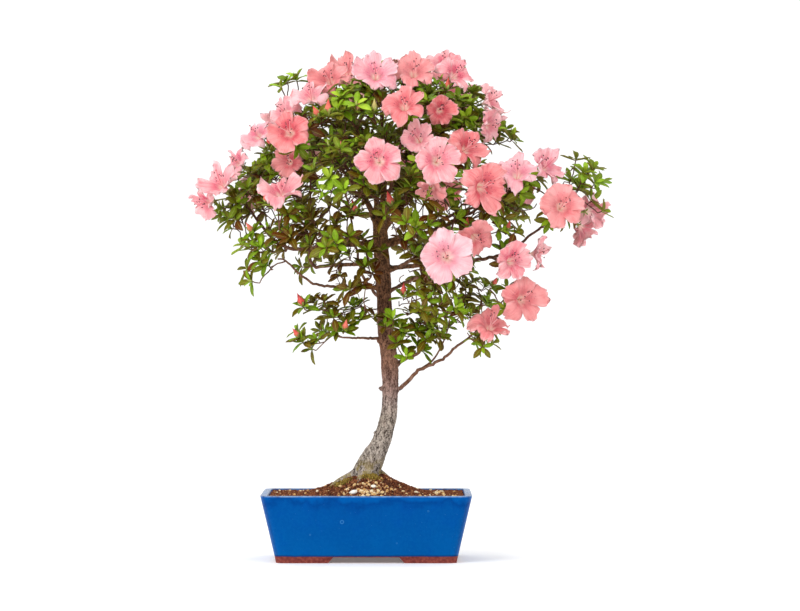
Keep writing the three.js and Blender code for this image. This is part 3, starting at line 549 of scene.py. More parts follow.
# %% [markdown]
# ## The wood
# An azalea's trunk is one tapering column with shallow fissures, and its limbs leave it with
# a swollen collar. A skin over overlapping stems gives those soft crotches: the stems are
# made as a curve with a round section, turned into a mesh, and melted together by a voxel
# remesh. Bark is then raised on that skin by moving each corner in and out by a noise that
# is drawn out along the grain. Thin twigs need no skin, and stay as chains of rings.

# %% Where limbs and twigs run
FORK_FROM, FORK_TO = 0.3, 0.95  # the share of a line's length that may branch
LIMB_FOOT, LIMB_TIP, TWIG_TIP = 0.84, 1.0, 0.75  # a share of the table's radius, and two radii
LEAST_AHEAD, SHARPEST_TURN = 25, 1.1  # mm and radians, for a limb that runs on to its end


class Wood:
    """Every place that new growth may start from."""

    def __init__(self):
        self.at, self.way, self.radius, self.share = [], [], [], []

    def note(self, line, radii):
        share = np.linspace(0, 1, len(line))
        kept = self.at, self.way, self.radius, self.share
        for values, news in zip(kept, (line, ways_along(line), radii, share)):
            values.extend(news[1:])

    def best_for(self, end, least=10.0):
        """The place whose growth would go least out of its way to reach end."""
        at, way, share = np.array(self.at), np.array(self.way), np.array(self.share)
        off = end - at
        distance = np.linalg.norm(off, axis=1)
        cost = distance * (1.7 - (off * way).sum(1) / np.maximum(distance, 1e-6)) + 6 * (1 - share)
        cost[(distance < least) | (share < FORK_FROM) | (share > FORK_TO)] = np.inf
        best = int(cost.argmin())
        return at[best], way[best], self.radius[best], distance[best]


print("growth may start from", FORK_FROM, "to", FORK_TO, "of a line's length")


# %% Limbs that run on to their ends
def limb_lines():
    """Each limb runs on to the bud or spray that lies best ahead of it."""
    ends = [[bud, way, False] for bud, way, _ in BUDS]
    ends += [[spray_base(at, reach), growth_at(at), False] for _, at, reach, _ in SPRAYS]
    lines = []
    for base, points in LIMBS:
        line = [np.array(p, float) for p in points]
        way = unit(line[-1] - line[-2])

        def cost(end):
            off = end[0] - line[-1]
            distance = np.linalg.norm(off)
            return distance * (2.7 - (off @ way + off @ end[1]) / distance)

        goal = min((e for e in ends if not e[2]), key=cost)
        goal[2] = True

        def is_good():
            ahead, behind = goal[0] - line[-1], line[-1] - line[-2]
            turns = [math.acos(np.clip(unit(ahead) @ unit(v), -1, 1)) for v in (goal[1], behind)]
            return np.linalg.norm(ahead) > LEAST_AHEAD and max(turns) < SHARPEST_TURN

        while len(line) > 2 and not is_good():
            line.pop()
        distance = np.linalg.norm(line[-1] - goal[0])
        line += [goal[0] - goal[1] * 0.25 * distance, goal[0]]
        lines.append((base, line))
    return lines, [(e[0], e[1]) for e in ends if not e[2]]


def crooked(line, amount, draw):
    """A line with small kinks, none at its two ends."""
    fade = np.sin(np.linspace(0, math.pi, len(line)))[:, None]
    return line + draw.normal(0, amount, line.shape) * fade


draw = draws(LIMB_SEED)
wood = Wood()
limb_stems = []
lines, open_ends = limb_lines()
for base, points in lines:
    line, _ = smooth_line(points, 8 * (len(points) - 1))
    line = crooked(line, 0.5, draw)
    foot = LIMB_FOOT * base
    radii = foot + (LIMB_TIP - foot) * np.linspace(0, 1, len(line)) ** 0.8
    wood.note(line, radii)
    limb_stems.append((line, radii))
print("limbs:", len(limb_stems), "ends still open:", len(open_ends))


# %% Twigs to each bud and leaf whorl
def onward(way, off):
    """The way itself, turned just enough that it doesn't double back on off."""
    return unit(way + off * 1.3 * max(0.0, 0.3 - way @ off))


def twig_to(end, way, draw, least=10.0, stout=1.7):
    """A line and its radii, from the best place on the wood to a new end."""
    at, lead, radius, distance = wood.best_for(end, least)
    lead, way = onward(lead, unit(end - at)), onward(way, unit(end - at))
    early = at + lead * distance * 0.22
    late = end - way * distance * 0.3
    middle = early + (late - early) * 0.55 - np.array([0, 0, 0.03 * distance])
    line, _ = smooth_line([at, middle, late, end], max(4, int(distance / 5)))
    line = crooked(line, min(0.6, distance * 0.012), draw)
    radii = np.linspace(min(stout, radius * 0.9), TWIG_TIP, len(line))
    wood.note(line, radii)
    return line, radii


open_ends.sort(key=lambda e: np.linalg.norm(e[0] - CROWN_HEART))
twigs = [twig_to(end, way, draw) for end, way in open_ends]
SHOOT = [(63, -17, 227), (80, -24, 240), (92, -30, 262), (98, -34, 280)]  # off the lowest right limb
line, _ = smooth_line(SHOOT, 16)
twigs.append((line, np.linspace(1.35, TWIG_TIP, len(line))))
wood.note(*twigs[-1])
print("main twigs:", len(twigs), "places that can branch:", len(wood.at))

# %% Places for whorls in a cloud
ROOM = 12.0  # mm between whorls
PLENTY, SPARSE = 1.28, 0.95  # whorls in a cloud, as a share of the number in its row
TRIES = 4000
FLATNESS = 0.62  # the depth of a cloud along its growth, as a share of its reach


def whorl_places(middle, reach, count, draw, plenty=PLENTY):
    """Places through a flattened ball, none nearer to another than there is room for."""
    way = growth_at(middle)
    side, over = frame_round(way)
    found = []
    for _ in range(TRIES):
        if len(found) == int(plenty * count):
            break
        ball = draw.normal(0, 1, 3)
        ball *= (draw.uniform(0.15, 1.0) ** 0.5) * reach * 1.02 / np.linalg.norm(ball)
        at = np.array(middle, float) + side * ball[0] + over * ball[1] + way * ball[2] * FLATNESS
        if all(np.linalg.norm(at - other) > ROOM for other, _ in found):
            found.append((at, unit(unit(at - spray_base(middle, reach)) + np.array([0, 0, 0.75]))))
    return found


THIN_CLOUDS = ("left_mid", "left_under", "left_front", "left_low")
draw = draws(CLOUD_SEED)
whorls = []  # place, way, name of the spray
for name, middle, reach, count in SPRAYS:
    plenty = SPARSE if name in THIN_CLOUDS else PLENTY
    whorls += [(at, way, name) for at, way in whorl_places(middle, reach, count, draw, plenty)]
print("whorls in the clouds:", len(whorls))

# %% Two places that stay thin
CLIMB_FROM, SQUARE_TO_CLIMB, CLIMB_WIDTH = (224, 425), (-0.62, 0.785), 13  # x and z, mm
SHOULDER = (-66, 534)  # x and z, mm: blooms stand left of it and above, with few leaves


def is_spare(k, at, name):
    """Whether a whorl is left out, so that two thin places in the crown stay thin."""
    if name == "right_tip":  # one long shoot that climbs to the right
        off = np.dot(SQUARE_TO_CLIMB, at[[0, 2]] - CLIMB_FROM)
        return abs(off) > CLIMB_WIDTH and k % 4 > 0  # beside the shoot, one in four stays
    return at[0] < SHOULDER[0] and at[2] > SHOULDER[1] and k % 3 > 0  # one in three stays


whorls = [w for k, w in enumerate(whorls) if not is_spare(k, w[0], w[2])]
print("whorls left:", len(whorls))

# %% Whorls at the buds and inside the crown
# x, y, z, reach, whorls: older shoots inside the crown, and a few that bridge two sprays
INNER_CLOUDS = [
    (-20, -30, 505, 44, 14), (40, -45, 500, 44, 14), (100, -40, 500, 40, 12), (0, 45, 480, 50, 10),
    (60, 30, 500, 50, 10), (-60, -10, 480, 44, 12), (25, -25, 440, 44, 12), (-100, -30, 470, 36, 8),
    (-38, -24, 286, 24, 5), (-6, -30, 296, 20, 4), (60, -60, 372, 36, 8), (104, -50, 350, 34, 7),
    (-20, 92, 508, 44, 10), (-62, 58, 516, 40, 8), (10, 100, 452, 44, 8),
    (-42, 20, 527, 34, 7), (70, 40, 540, 40, 8), (60, 0, 460, 44, 9), (84, -40, 281, 30, 7),
    (66, -24, 262, 22, 5),
]


def nearest_spray(at):
    return min(SPRAYS, key=lambda row: np.linalg.norm(np.array(row[1], float) - at))[0]


THIRD_TURN = 2.1  # radians, about
for bud, way, _ in BUDS:  # three whorls stand round the bud that each truss opened from
    side, over = frame_round(way)
    for k in range(3):
        out = outwards(side, over, THIRD_TURN * k + draw.uniform(0, 1.2))
        at = bud + out * draw.uniform(9, 17) + way * draw.uniform(-4, 5)
        lead = unit(way * 0.5 + out * 0.8 + np.array([0, 0, 0.4]))
        whorls.append((at, lead, nearest_spray(bud)))
for *middle, reach, count in INNER_CLOUDS:
    near = nearest_spray(middle)
    whorls += [(at, way, near) for at, way in whorl_places(middle, reach, count, draw)]
whorls.sort(key=lambda w: np.linalg.norm(w[0] - CROWN_HEART))
print("whorls in all:", len(whorls))

# %% Fine and bare twigs
draw = draws(TWIG_SEED)
FINE = {"least": 6.0, "stout": 1.25}  # mm: the shortest fine twig, and the radius at its foot
fine_twigs = [twig_to(at, way, draw, **FINE) for at, way, _ in whorls]
BARE_TRIES = 520
BARE_LEAST, BARE_MOST = 8.0, 38  # mm
bare_twigs = []
for _ in range(BARE_TRIES):
    at, way, _ = whorls[int(draw.integers(0, len(whorls)))]
    end = at + (CROWN_HEART - at) * draw.uniform(0.05, 0.45) + draw.normal(0, 9, 3)
    if wood.best_for(end, BARE_LEAST)[3] > BARE_MOST:
        continue
    way = unit(growth_at(end) + draw.normal(0, 0.5, 3))
    bare_twigs.append(twig_to(end, way, draw, BARE_LEAST, 1.0))
print("fine twigs:", len(fine_twigs), "bare twigs:", len(bare_twigs))

# %% [markdown]
# ### A skin over the thick wood
# The curve tool gives round stems of changing thickness. A voxel remesh then works like a
# shrink wrap: all that overlaps becomes one closed skin of small even faces, which is what
# the bark needs. The voxels are a little over a millimetre, so only wood thicker than about
# four millimetres goes in, and the thin ends of limbs stay with the twigs.

# %% Round stems from one curve
VOXEL = 0.00125  # m
SKIN_FROM, TWIG_UPTO = 2.1, 2.5  # mm: thicker wood is in the skin, thinner is among the twigs
THICKER = 0.5  # mm more on the trunk, for what the bark's cracks take away


def stems_as_mesh(name, stems, fineness):
    """Round stems of changing thickness, swept along lines by one curve."""
    obj = added(bpy.ops.curve.primitive_bezier_curve_add)
    obj.name = name
    obj.location = (0, 0, 0)
    data = obj.data
    data.splines.clear()
    data.dimensions = "3D"
    data.bevel_depth = 1 / MM  # so that a radius is in millimetres
    data.bevel_resolution = fineness
    data.use_fill_caps = True
    for line, radii in stems:
        spline = data.splines.new("POLY")
        spline.points.add(len(line) - 1)
        spline.points.foreach_set("co", np.column_stack([in_frame(line), np.ones(len(line))]).ravel())
        spline.points.foreach_set("radius", np.asarray(radii, float))
    bpy.ops.object.convert(target="MESH")
    return bpy.context.object


trunk_line, share = smooth_line([row[:3] for row in TRUNK], 60)
trunk_radii = np.interp(share, np.linspace(0, 1, len(TRUNK)), [row[3] for row in TRUNK])
thick = [(trunk_line, trunk_radii + THICKER)]
SCARS = [  # where old limbs were cut: x, y, z, radius
    (11, -6, 152, 3.4), (26.5, -7, 145, 3.2), (30, -8, 175, 2.8), (17.5, -3, 205, 3.6),
    (31, -6, 226, 3), (15, -3, 262, 3.2), (28, -6, 300, 2.8), (12, -2, 326, 3.2),
    (36, 4, 200, 3), (24, 9, 240, 3.4), (20, 9, 150, 3),
]
SCAR_LINE = np.array([[-1, 2, -1], [0, 0, 0], [0, -0.5, 2.0]])
for *at, radius in SCARS:
    thick.append((SCAR_LINE + at, np.array([1.0, 1.0, 0.6]) * radius))
for radius, points in ROOTS:
    line, share = smooth_line(points, 14)
    thick.append((line, radius * (1 - 0.72 * share)))
for line, radii in limb_stems:
    stout = radii > SKIN_FROM
    swollen = radii[stout] + 1.6 * np.exp(-np.linalg.norm(line[stout] - line[0], axis=1) / 9)
    thick.append((line[stout], swollen))
trunk = stems_as_mesh("trunk_and_limbs", thick, 3)
modify(trunk, "REMESH", mode="VOXEL", voxel_size=VOXEL)
modify(trunk, "SMOOTH", factor=0.6, iterations=3)
print("skin triangles:", triangles(trunk))


# %% Bark raised on the skin
def grain_height(x, y, z, thickness):
    """How far the bark stands out, in millimetres: plates with cracks that run with the grain."""
    along = z * 0.16
    plates = noise.noise(Vector((x * 0.42, y * 0.42, along * 1.2)))
    cracks = noise.noise(Vector((x * 0.95 + 7, y * 0.95, along * 2.1)))
    swell = noise.noise(Vector((x * 0.09, y * 0.09 + 3, z * 0.05)))
    fine = noise.noise(Vector((x * 1.7, y * 1.7, z * 0.9 + 11)))
    crack = -max(0.0, 0.22 - abs(cracks)) * 2.6
    return thickness * (0.4 * plates + crack + 0.22 * fine) + swell * 1.1 * thickness


def raise_bark(obj):
    mesh = obj.data
    count = len(mesh.vertices)
    places, normals = np.empty(count * 3), np.empty(count * 3)
    mesh.vertices.foreach_get("co", places)
    mesh.vertices.foreach_get("normal", normals)
    places, normals = places.reshape(-1, 3), normals.reshape(-1, 3)
    here = (places - POT_MIDDLE) * MM
    near = np.full(count, 1e9)
    for a in trunk_line[::3]:
        near = np.minimum(near, np.linalg.norm(here - a, axis=1))
    thickness = np.clip(1.25 - (near - 10) / 14, 0.35, 1.0)
    lift = np.array([grain_height(*p, t) for p, t in zip(here, thickness)])
    places += normals * lift[:, None] / MM
    mesh.vertices.foreach_set("co", places.ravel())
    mesh.update()
    number_corners(mesh, "tint", np.clip(0.5 + lift * 0.55, 0, 1))
    return lift


lift = raise_bark(trunk)
bpy.ops.object.shade_smooth()
print("bark stands out by", lift.min().round(2), "to", lift.max().round(2), "mm")

# %% Thin wood as chains of rings
thin = Pile()
for line, radii in limb_stems:
    keep = radii < TWIG_UPTO
    thin.add(*stem(line[keep], radii[keep], 8), tint=0.4)
# stems, sides, a share of the radius, tint
for stems, sides, share, tint in (twigs, 7, 1, 0.45), (fine_twigs, 5, 1, 0.55), (bare_twigs, 4, 0.85, 0.3):
    for line, radii in stems:
        thin.add(*stem(line, radii * share, sides), tint=tint)
print("corners of thin wood:", thin.size)

# %% [markdown]
# ## Shader helpers
# Every finish here is built from nodes on the piece's own coordinates, so that it holds from
# any side and can be baked. An uneven pattern is needed by wood, soil, glaze and clay alike,
# so it is one node group: a noise with its own scale, which can be drawn out along the
# height. A few short functions place nodes and join them, and plain arithmetic on a node's
# value places the maths node for it.


# %% A value that takes arithmetic
class Value:
    """The output of a node, on which plain arithmetic can be done."""

    def __init__(self, finish, socket):
        self.finish, self.socket = finish, socket

    def __add__(self, other):
        return self.finish.maths("ADD", self, other)

    def __sub__(self, other):
        return self.finish.maths("SUBTRACT", self, other)

    def __rsub__(self, other):
        return self.finish.maths("SUBTRACT", other, self)

    def __mul__(self, other):
        return self.finish.maths("MULTIPLY", self, other)

    def __truediv__(self, other):
        return self.finish.maths("DIVIDE", self, other)

    def __abs__(self):
        return self.finish.maths("ABSOLUTE", self)

    __radd__, __rmul__ = __add__, __mul__


print("sums with a value:", [word.strip("_") for word in vars(Value) if callable(vars(Value)[word])])


# %% Placing nodes
class Finish:
    """A material and the short words that build it."""

    def __init__(self, name, roughness, specular=0.5):
        self.material = bpy.data.materials.new(name)
        self.material.use_nodes = True
        self.tree = self.material.node_tree
        self.shader = self.tree.nodes["Principled BSDF"]
        self.give({"Roughness": roughness, "Specular IOR Level": specular})

    def put(self, socket, value):
        """Joins a value to a socket, or sets it; a tuple is a colour, 0 to 255 a channel."""
        if isinstance(value, Value):
            self.tree.links.new(value.socket, socket)
        else:
            socket.default_value = colour(*value) if isinstance(value, tuple) else value

    def give(self, looks):
        for key, value in looks.items():
            self.put(self.shader.inputs[key], value)

    def node(self, kind, inputs, output=0, **settings):
        """A new node with its inputs in place, as the value of one of its outputs."""
        made = self.tree.nodes.new("ShaderNode" + kind)
        for key, value in settings.items():
            setattr(made, key, value)
        for key, value in inputs.items():
            self.put(made.inputs[key], value)
        return Value(self, made.outputs[output])

    def maths(self, what, *values, clamp=False):
        return self.node("Math", dict(enumerate(values)), operation=what, use_clamp=clamp)

    def attribute(self, name):
        return self.node("Attribute", {}, "Fac", attribute_name=name)

    def place(self, axis):
        return self.node("SeparateXYZ", {0: self.node("TexCoord", {}, "Object")}, axis)

    def across_and_along(self):
        place = self.node("UVMap", {}, uv_map="UVMap")
        return [self.node("SeparateXYZ", {0: place}, axis) for axis in (0, 1)]

    def ramp(self, value, stops):
        """A colour for each value, from rows of a position and a colour."""
        shade = self.node("ValToRGB", {0: value})
        elements = shade.socket.node.color_ramp.elements
        while len(elements) < len(stops):
            elements.new(0.5)
        for element, (position, *picked) in zip(elements, stops):
            element.position = position
            element.color = colour(*picked)
        return shade

    def level(self, value, low, high, out_low=0.0, out_high=1.0):
        """A soft step from out_low to out_high, as the value goes from low to high."""
        keys = ("Value", "From Min", "From Max", "To Min", "To Max")
        inputs = dict(zip(keys, (value, low, high, out_low, out_high)))
        return self.node("MapRange", inputs, interpolation_type="SMOOTHSTEP")

    def mix(self, share, first, second):
        return self.node("Mix", {0: share, 6: first, 7: second}, 2, data_type="RGBA")

    def vector(self, *values):
        return self.node("CombineXYZ", dict(enumerate(values)))

    def bump(self, height, strength, distance):
        inputs = {"Strength": strength, "Distance": distance, "Height": height}
        self.give({"Normal": self.node("Bump", inputs)})

    def uneven(self, scale, along=1.0, detail=3.0):
        inputs = {"Scale": scale, "Along": along, "Detail": detail}
        return self.node("Group", inputs, "Pattern", node_tree=UNEVEN)

    def specks(self, scale, size):
        return self.node("Group", {"Scale": scale, "Size": size}, "Mask", node_tree=SPECKS)


print("words for a finish:", [word for word in vars(Finish) if not word.startswith("_")])


# %% The shared patterns
def group_with(name, inputs, output):
    tree = bpy.data.node_groups.new(name, "ShaderNodeTree")
    for key, value in inputs:
        tree.interface.new_socket(key, in_out="INPUT", socket_type="NodeSocketFloat").default_value = value
    tree.interface.new_socket(output, in_out="OUTPUT", socket_type="NodeSocketFloat")
    return tree, tree.nodes.new("NodeGroupInput").outputs, tree.nodes.new("NodeGroupOutput").inputs


def join_all(tree, pairs):
    for source, target in pairs:
        tree.links.new(source, target)


UNEVEN, given, answer = group_with("uneven_pattern", [("Scale", 100), ("Along", 1), ("Detail", 3)], "Pattern")
where = UNEVEN.nodes.new("ShaderNodeTexCoord")
stretch = UNEVEN.nodes.new("ShaderNodeCombineXYZ")
stretch.inputs[0].default_value = 1
stretch.inputs[1].default_value = 1
drawn = UNEVEN.nodes.new("ShaderNodeVectorMath")
drawn.operation = "MULTIPLY"
cloud = UNEVEN.nodes.new("ShaderNodeTexNoise")
join_all(UNEVEN, [
    (given["Along"], stretch.inputs[2]),
    (where.outputs["Object"], drawn.inputs[0]),
    (stretch.outputs[0], drawn.inputs[1]),
    (drawn.outputs[0], cloud.inputs["Vector"]),
    (given["Scale"], cloud.inputs["Scale"]),
    (given["Detail"], cloud.inputs["Detail"]),
    (cloud.outputs[0], answer[0]),
])

SPECKS, given, answer = group_with("small_specks", [("Scale", 100), ("Size", 0.2)], "Mask")
where = SPECKS.nodes.new("ShaderNodeTexCoord")
cells = SPECKS.nodes.new("ShaderNodeTexVoronoi")
under = SPECKS.nodes.new("ShaderNodeMath")
under.operation = "LESS_THAN"
join_all(SPECKS, [
    (where.outputs["Object"], cells.inputs["Vector"]),
    (given["Scale"], cells.inputs["Scale"]),
    (cells.outputs["Distance"], under.inputs[0]),
    (given["Size"], under.inputs[1]),
    (under.outputs[0], answer[0]),
])
print("groups:", UNEVEN.name, SPECKS.name)

# %% [markdown]
# ### Bark
# Old bark low on the trunk has weathered to grey and beige, and higher up it is younger, redder and darker,
# with thin paler flakes. So the colours follow the height on the trunk. The cracks, whose depth the mesh has
# kept as a number on each corner, are darkened with painted shade. The thin lowest limb is greyer than the
# trunk at its height.

# %% Bark finish
BARK_FACE = [
    (0.0, 190, 178, 167), (0.12, 185, 171, 157), (0.18, 178, 158, 149), (0.23, 165, 136, 126),
    (0.3, 160, 126, 113), (0.38, 154, 112, 92), (0.7, 146, 102, 76), (0.88, 158, 114, 84),
    (1.0, 152, 108, 68),
]
# dark bark for the flakes and crumbs, and painted shade for the cracks
BARK_DARK_AND_CRACK_SHADE = [(0.0, 52, 42, 36), (0.18, 58, 42, 36), (0.32, 66, 40, 32), (1.0, 54, 34, 20)]
bark = Finish("trunk_bark", 0.88, 0.2)
x, z = bark.place(0), bark.place(2)
height = bark.level(z, 0.10, 0.42)
flakes = bark.level(bark.uneven(400, 0.45, 3), 0.45, 0.55)
crumbs = bark.level(bark.uneven(680, 0.8, 2), 0.44, 0.56)
# painted shade in the cracks: the deeper a corner lies in the bark, the darker it is
painted_crack_shade = bark.level(bark.attribute("tint"), 0.3, 0.62)
shown = bark.maths("ADD", painted_crack_shade * 0.28, flakes * 0.46 + crumbs * 0.34, clamp=True)
shade = bark.mix(shown, bark.ramp(height, BARK_DARK_AND_CRACK_SHADE), bark.ramp(height, BARK_FACE))
low_limb = bark.level(x, 0.034, 0.056) * bark.level(z, 0.31, 0.26)
shade = bark.mix(low_limb * 0.6, shade, (164, 148, 140))
shade = bark.mix(bark.level(bark.uneven(90, 0.5, 3), 0.56, 0.7, 0.0, 0.3), shade, (92, 62, 50))
shade = bark.mix(bark.level(bark.uneven(210, 1.2, 2), 0.66, 0.72, 0.0, 0.6), shade, (54, 40, 34))
moss_line = bark.level(z, 0.102, 0.128, 1.0, 0.0) * bark.level(bark.uneven(110, 1, 3), 0.46, 0.56)
bark.give({"Base Color": bark.mix(moss_line * 0.6, shade, (150, 132, 62))})
bark.bump(bark.uneven(420, 0.45, 5) + bark.uneven(1300, 0.8, 3) * 0.35, 0.8, 0.0016)
dress(trunk, [bark], ["tree"])
print("bark nodes:", len(bark.tree.nodes))

# %% Twig finish
TWIG_SHADES = [(0.3, 80, 52, 38), (0.5, 118, 80, 60), (0.72, 158, 122, 102)]
twig_bark = Finish("twig_bark", 0.7, 0.15)
shade = twig_bark.ramp(twig_bark.uneven(160, 1, 4), TWIG_SHADES)
# painted shade inside the crown: twigs higher up are darkened to a deep red-brown
painted_crown_shade = twig_bark.level(twig_bark.place(2), 0.33, 0.43, 0.0, 0.6)  # higher in the crown
twig_bark.give({"Base Color": twig_bark.mix(painted_crown_shade, shade, (68, 32, 12))})
twig_bark.bump(twig_bark.uneven(900, 1, 4), 0.4, 0.0005)
thin_wood = thin.piece("limb_ends_and_twigs", [twig_bark], "bark")
print("thin wood triangles:", triangles(thin_wood))

# %% [markdown]
# ## Leaves
# A satsuki leaf is small, thick and lance-shaped, folded a little along its midrib, and five
# to eight of them crowd round the end of each twig: the outer ones long and spreading, the
# inner ones short, upright and fresh green. One thin closed sheet of a few dozen faces is
# bent into four kinds of leaf. A whorl draws its leaves from them by chance, and sets each at
# the golden angle from the last, as growing leaves do.

# %% Four kinds of leaf
LEAF_THICKNESS = 0.016  # in leaf lengths


def leaf_shape(arch, fold, twist):
    """A leaf of length 1 that grows along X with its upper face up."""

    def surface(u, v):
        half = 0.035 + 0.185 * np.sin(math.pi * np.clip(v, 0, 1) ** 1.25) ** 0.85 * (1 - 0.12 * v)
        lateral = -u * half
        rise = -arch * v**2 + fold * np.abs(u) * half + 0.018 * np.sin(9 * v) * np.abs(u)
        turn = twist * v
        sideways = lateral * np.cos(turn) - 0.1 * twist * v * v
        return np.column_stack([v * (1 - 0.16 * arch * v), sideways, rise + lateral * np.sin(turn)])

    return bent(LEAF_SHEET, surface, LEAF_THICKNESS)


BENDS = [(0.10, 0.45, 0.0), (0.28, 0.3, 0.25), (0.18, 0.7, -0.3), (-0.05, 0.35, 0.12)]  # arch, fold, twist
LEAF_KINDS = [leaf_shape(*bends) for bends in BENDS]
LEAF_UV = map_of(LEAF_SHEET)
LEAF_UNDER = LEAF_SHEET["under"].astype(float)
print("kinds of leaf:", len(LEAF_KINDS))

# %% Whorls of leaves
GOLDEN = 2.4  # radians between a leaf and the next
LEAF_SLOT, SHOOT_SLOT, BUD_SLOT = 0, 1, 2
CUP_FEET, CUP_WAYS = (np.array(c) for c in zip(*(foot for _, _, feet in BUDS for foot in feet)))
CUP_RADII = np.array([bloom[5] / 2 for blooms in TRUSSES for bloom in blooms])


def pierces_a_bloom(foot, tip):
    """Whether a leaf would start on one side of a bloom's petals and end on the other."""
    sides = []
    for end in (foot, tip):
        off = end - CUP_FEET
        along = (off * CUP_WAYS).sum(axis=1)
        out = np.linalg.norm(off - CUP_WAYS * along[:, None], axis=1) / CUP_RADII
        sides.append(along > 0.66 * CUP_RADII * np.minimum(out / 0.6, 1) ** 0.6)
    return bool(np.any((out < 0.95) & (sides[0] != sides[1])))


def set_leaf(pile, kind, at, way, up, length, tint, slot=LEAF_SLOT):
    """A leaf from at, along way, with its upper face towards up."""
    along = unit(way)
    rise = unit(up - along * (up @ along))
    lateral = np.cross(rise, along)
    points = at + length * (LEAF_KINDS[kind] @ np.array([along, lateral, rise]))
    pile.add(points, LEAF_SHEET["faces"], slot, LEAF_UV, tint, LEAF_UNDER)


def set_whorl(pile, at, way, draw, shade, scale=1.0):
    """A rosette of leaves round a twig's end, from the outermost to the innermost."""
    side, over = frame_round(way)
    count = int(draw.integers(5, 9))
    start = draw.uniform(0, ANY_TURN)
    leaves = 0
    for k in range(count):
        inner = k / (count - 1)
        out = outwards(side, over, start + GOLDEN * k + draw.normal(0, 0.12))
        rise = 0.12 + 0.75 * inner + draw.normal(0, 0.16)
        lead = unit(out * math.cos(rise) + way * math.sin(rise))
        length = scale * (22.5 - 9.0 * inner) * draw.uniform(0.8, 1.12)
        foot = at + way * (inner * 2.6 - 1.6) + out * 0.7
        tint = np.clip(shade + 0.3 * (inner - 0.4) + draw.normal(0, 0.09), 0.02, 0.99)
        kind = int(draw.integers(0, len(LEAF_KINDS)))
        if pierces_a_bloom(foot, foot + lead * length):
            continue
        set_leaf(pile, kind, foot, lead, way + out * 0.05, length, tint)
        leaves += 1
    return leaves


def set_leaf_bud(pile, at, way, size):
    """A small closed shoot in the heart of a whorl."""
    line = at + way * np.linspace(-1, 6.5, 5)[:, None] * size
    pile.add(*stem(line, np.array([0.9, 1.6, 1.5, 0.8, 0.15]) * size, 6), SHOOT_SLOT, tint=0.7)


print("blooms to keep clear of:", len(CUP_RADII))

# %% Flower buds
# x, y, z, degrees right of the front, degrees above level, size, tint from 0 green to 1 red
FLOWER_BUDS = [
    (-58, -110, 530, -30, 40, 1.05, 0.7), (-44, -112, 534, 5, 80, 1.2, 0.75),
    (-9, -106, 536, 20, 60, 0.85, 0.5), (10, -106, 537, -5, 78, 1.0, 0.15),
    (-29, -122, 487, 0, 60, 1.05, 0.45), (-14, -106, 419, -25, 60, 1.15, 0.9),
    (28, -104, 428, -30, 55, 1.25, 0.85), (-78, -44, 310, -35, 50, 1.2, 1.0),
    (-83, -50, 271, -50, 45, 0.9, 0.85), (44, -70, 322, 5, 70, 1.05, 0.95),
    (-25, -60, 280, 20, 55, 1.0, 0.7), (-138, -50, 396, -40, 40, 1.0, 0.6),
    (167, -84, 397, 30, 60, 0.9, 0.8), (52, 128, 560, 175, 70, 1.1, 0.85),
    (-30, 130, 508, 200, 60, 1.0, 0.8), (150, 128, 470, 160, 55, 1.1, 0.9),
    (96, -60, 566, 30, 70, 0.9, 0.8), (-120, 70, 500, 230, 60, 1.0, 0.85),
    (90, 120, 400, 170, 50, 1.0, 0.8), (118, -104, 400, 10, 60, 0.9, 0.85),
    (-118, -84, 430, -30, 60, 0.9, 0.8), (152, -44, 332, 30, 40, 0.9, 0.8),
]
FIFTH_TURN = 2 * math.pi / 5  # radians
SCALE_SHEET = flat_sheet(2, 3)
BUD_LENGTH, BUD_RADIUS, BUD_SIDES = 16.5, 3.1, 10
BUD_OUTLINE = np.array([0.3, 0.78, 1.0, 0.98, 0.8, 0.52, 0.24, 0.04])  # a share of the radius


def set_flower_bud(pile, at, way, size, tint, draw):
    """A pointed bud of rolled petals, with short scales round its foot."""
    side, over = frame_round(way)
    length = BUD_LENGTH * size
    rings = len(BUD_OUTLINE)
    share = np.linspace(0, 1, rings)
    points, faces = stem(at + way * (share * length)[:, None], BUD_RADIUS * size * BUD_OUTLINE, BUD_SIDES)
    ring = np.repeat(share, BUD_SIDES)
    turn = np.tile(np.arange(BUD_SIDES), rings)
    middle = at + way * (ring * length)[:, None]
    in_or_out = np.where((turn + (ring * 3).astype(int)) % 2 == 0, 1, -1)  # the petals' spiral
    swirl = 1 + 0.13 * in_or_out * np.sin(math.pi * ring)
    round_it = slice(0, len(ring))
    points[round_it] = middle + (points[round_it] - middle) * swirl[:, None]
    tints = np.r_[np.clip(tint * (0.5 + 0.62 * ring), 0, 1), tint * 0.5, tint]
    pile.add(points, faces, BUD_SLOT, tint=tints)
    for k in range(5):
        turn = k * FIFTH_TURN + draw.uniform(0, 0.4)

        def surface(u, v, turn=turn):
            angle = turn - u * 0.62 * (1 - 0.7 * v**2)
            out = size * (3.55 * np.sin(0.35 + 1.35 * v) + 0.5 * v * v)
            rise = (v * 0.46 - 0.04) * length
            return at + np.column_stack([np.cos(angle) * out, np.sin(angle) * out, rise]) @ [side, over, way]

        scale = bent(SCALE_SHEET, surface, 0.3)
        pile.add(scale, SCALE_SHEET["faces"], SHOOT_SLOT, tint=draw.uniform(0.3, 0.8))


print("flower buds:", len(FLOWER_BUDS))
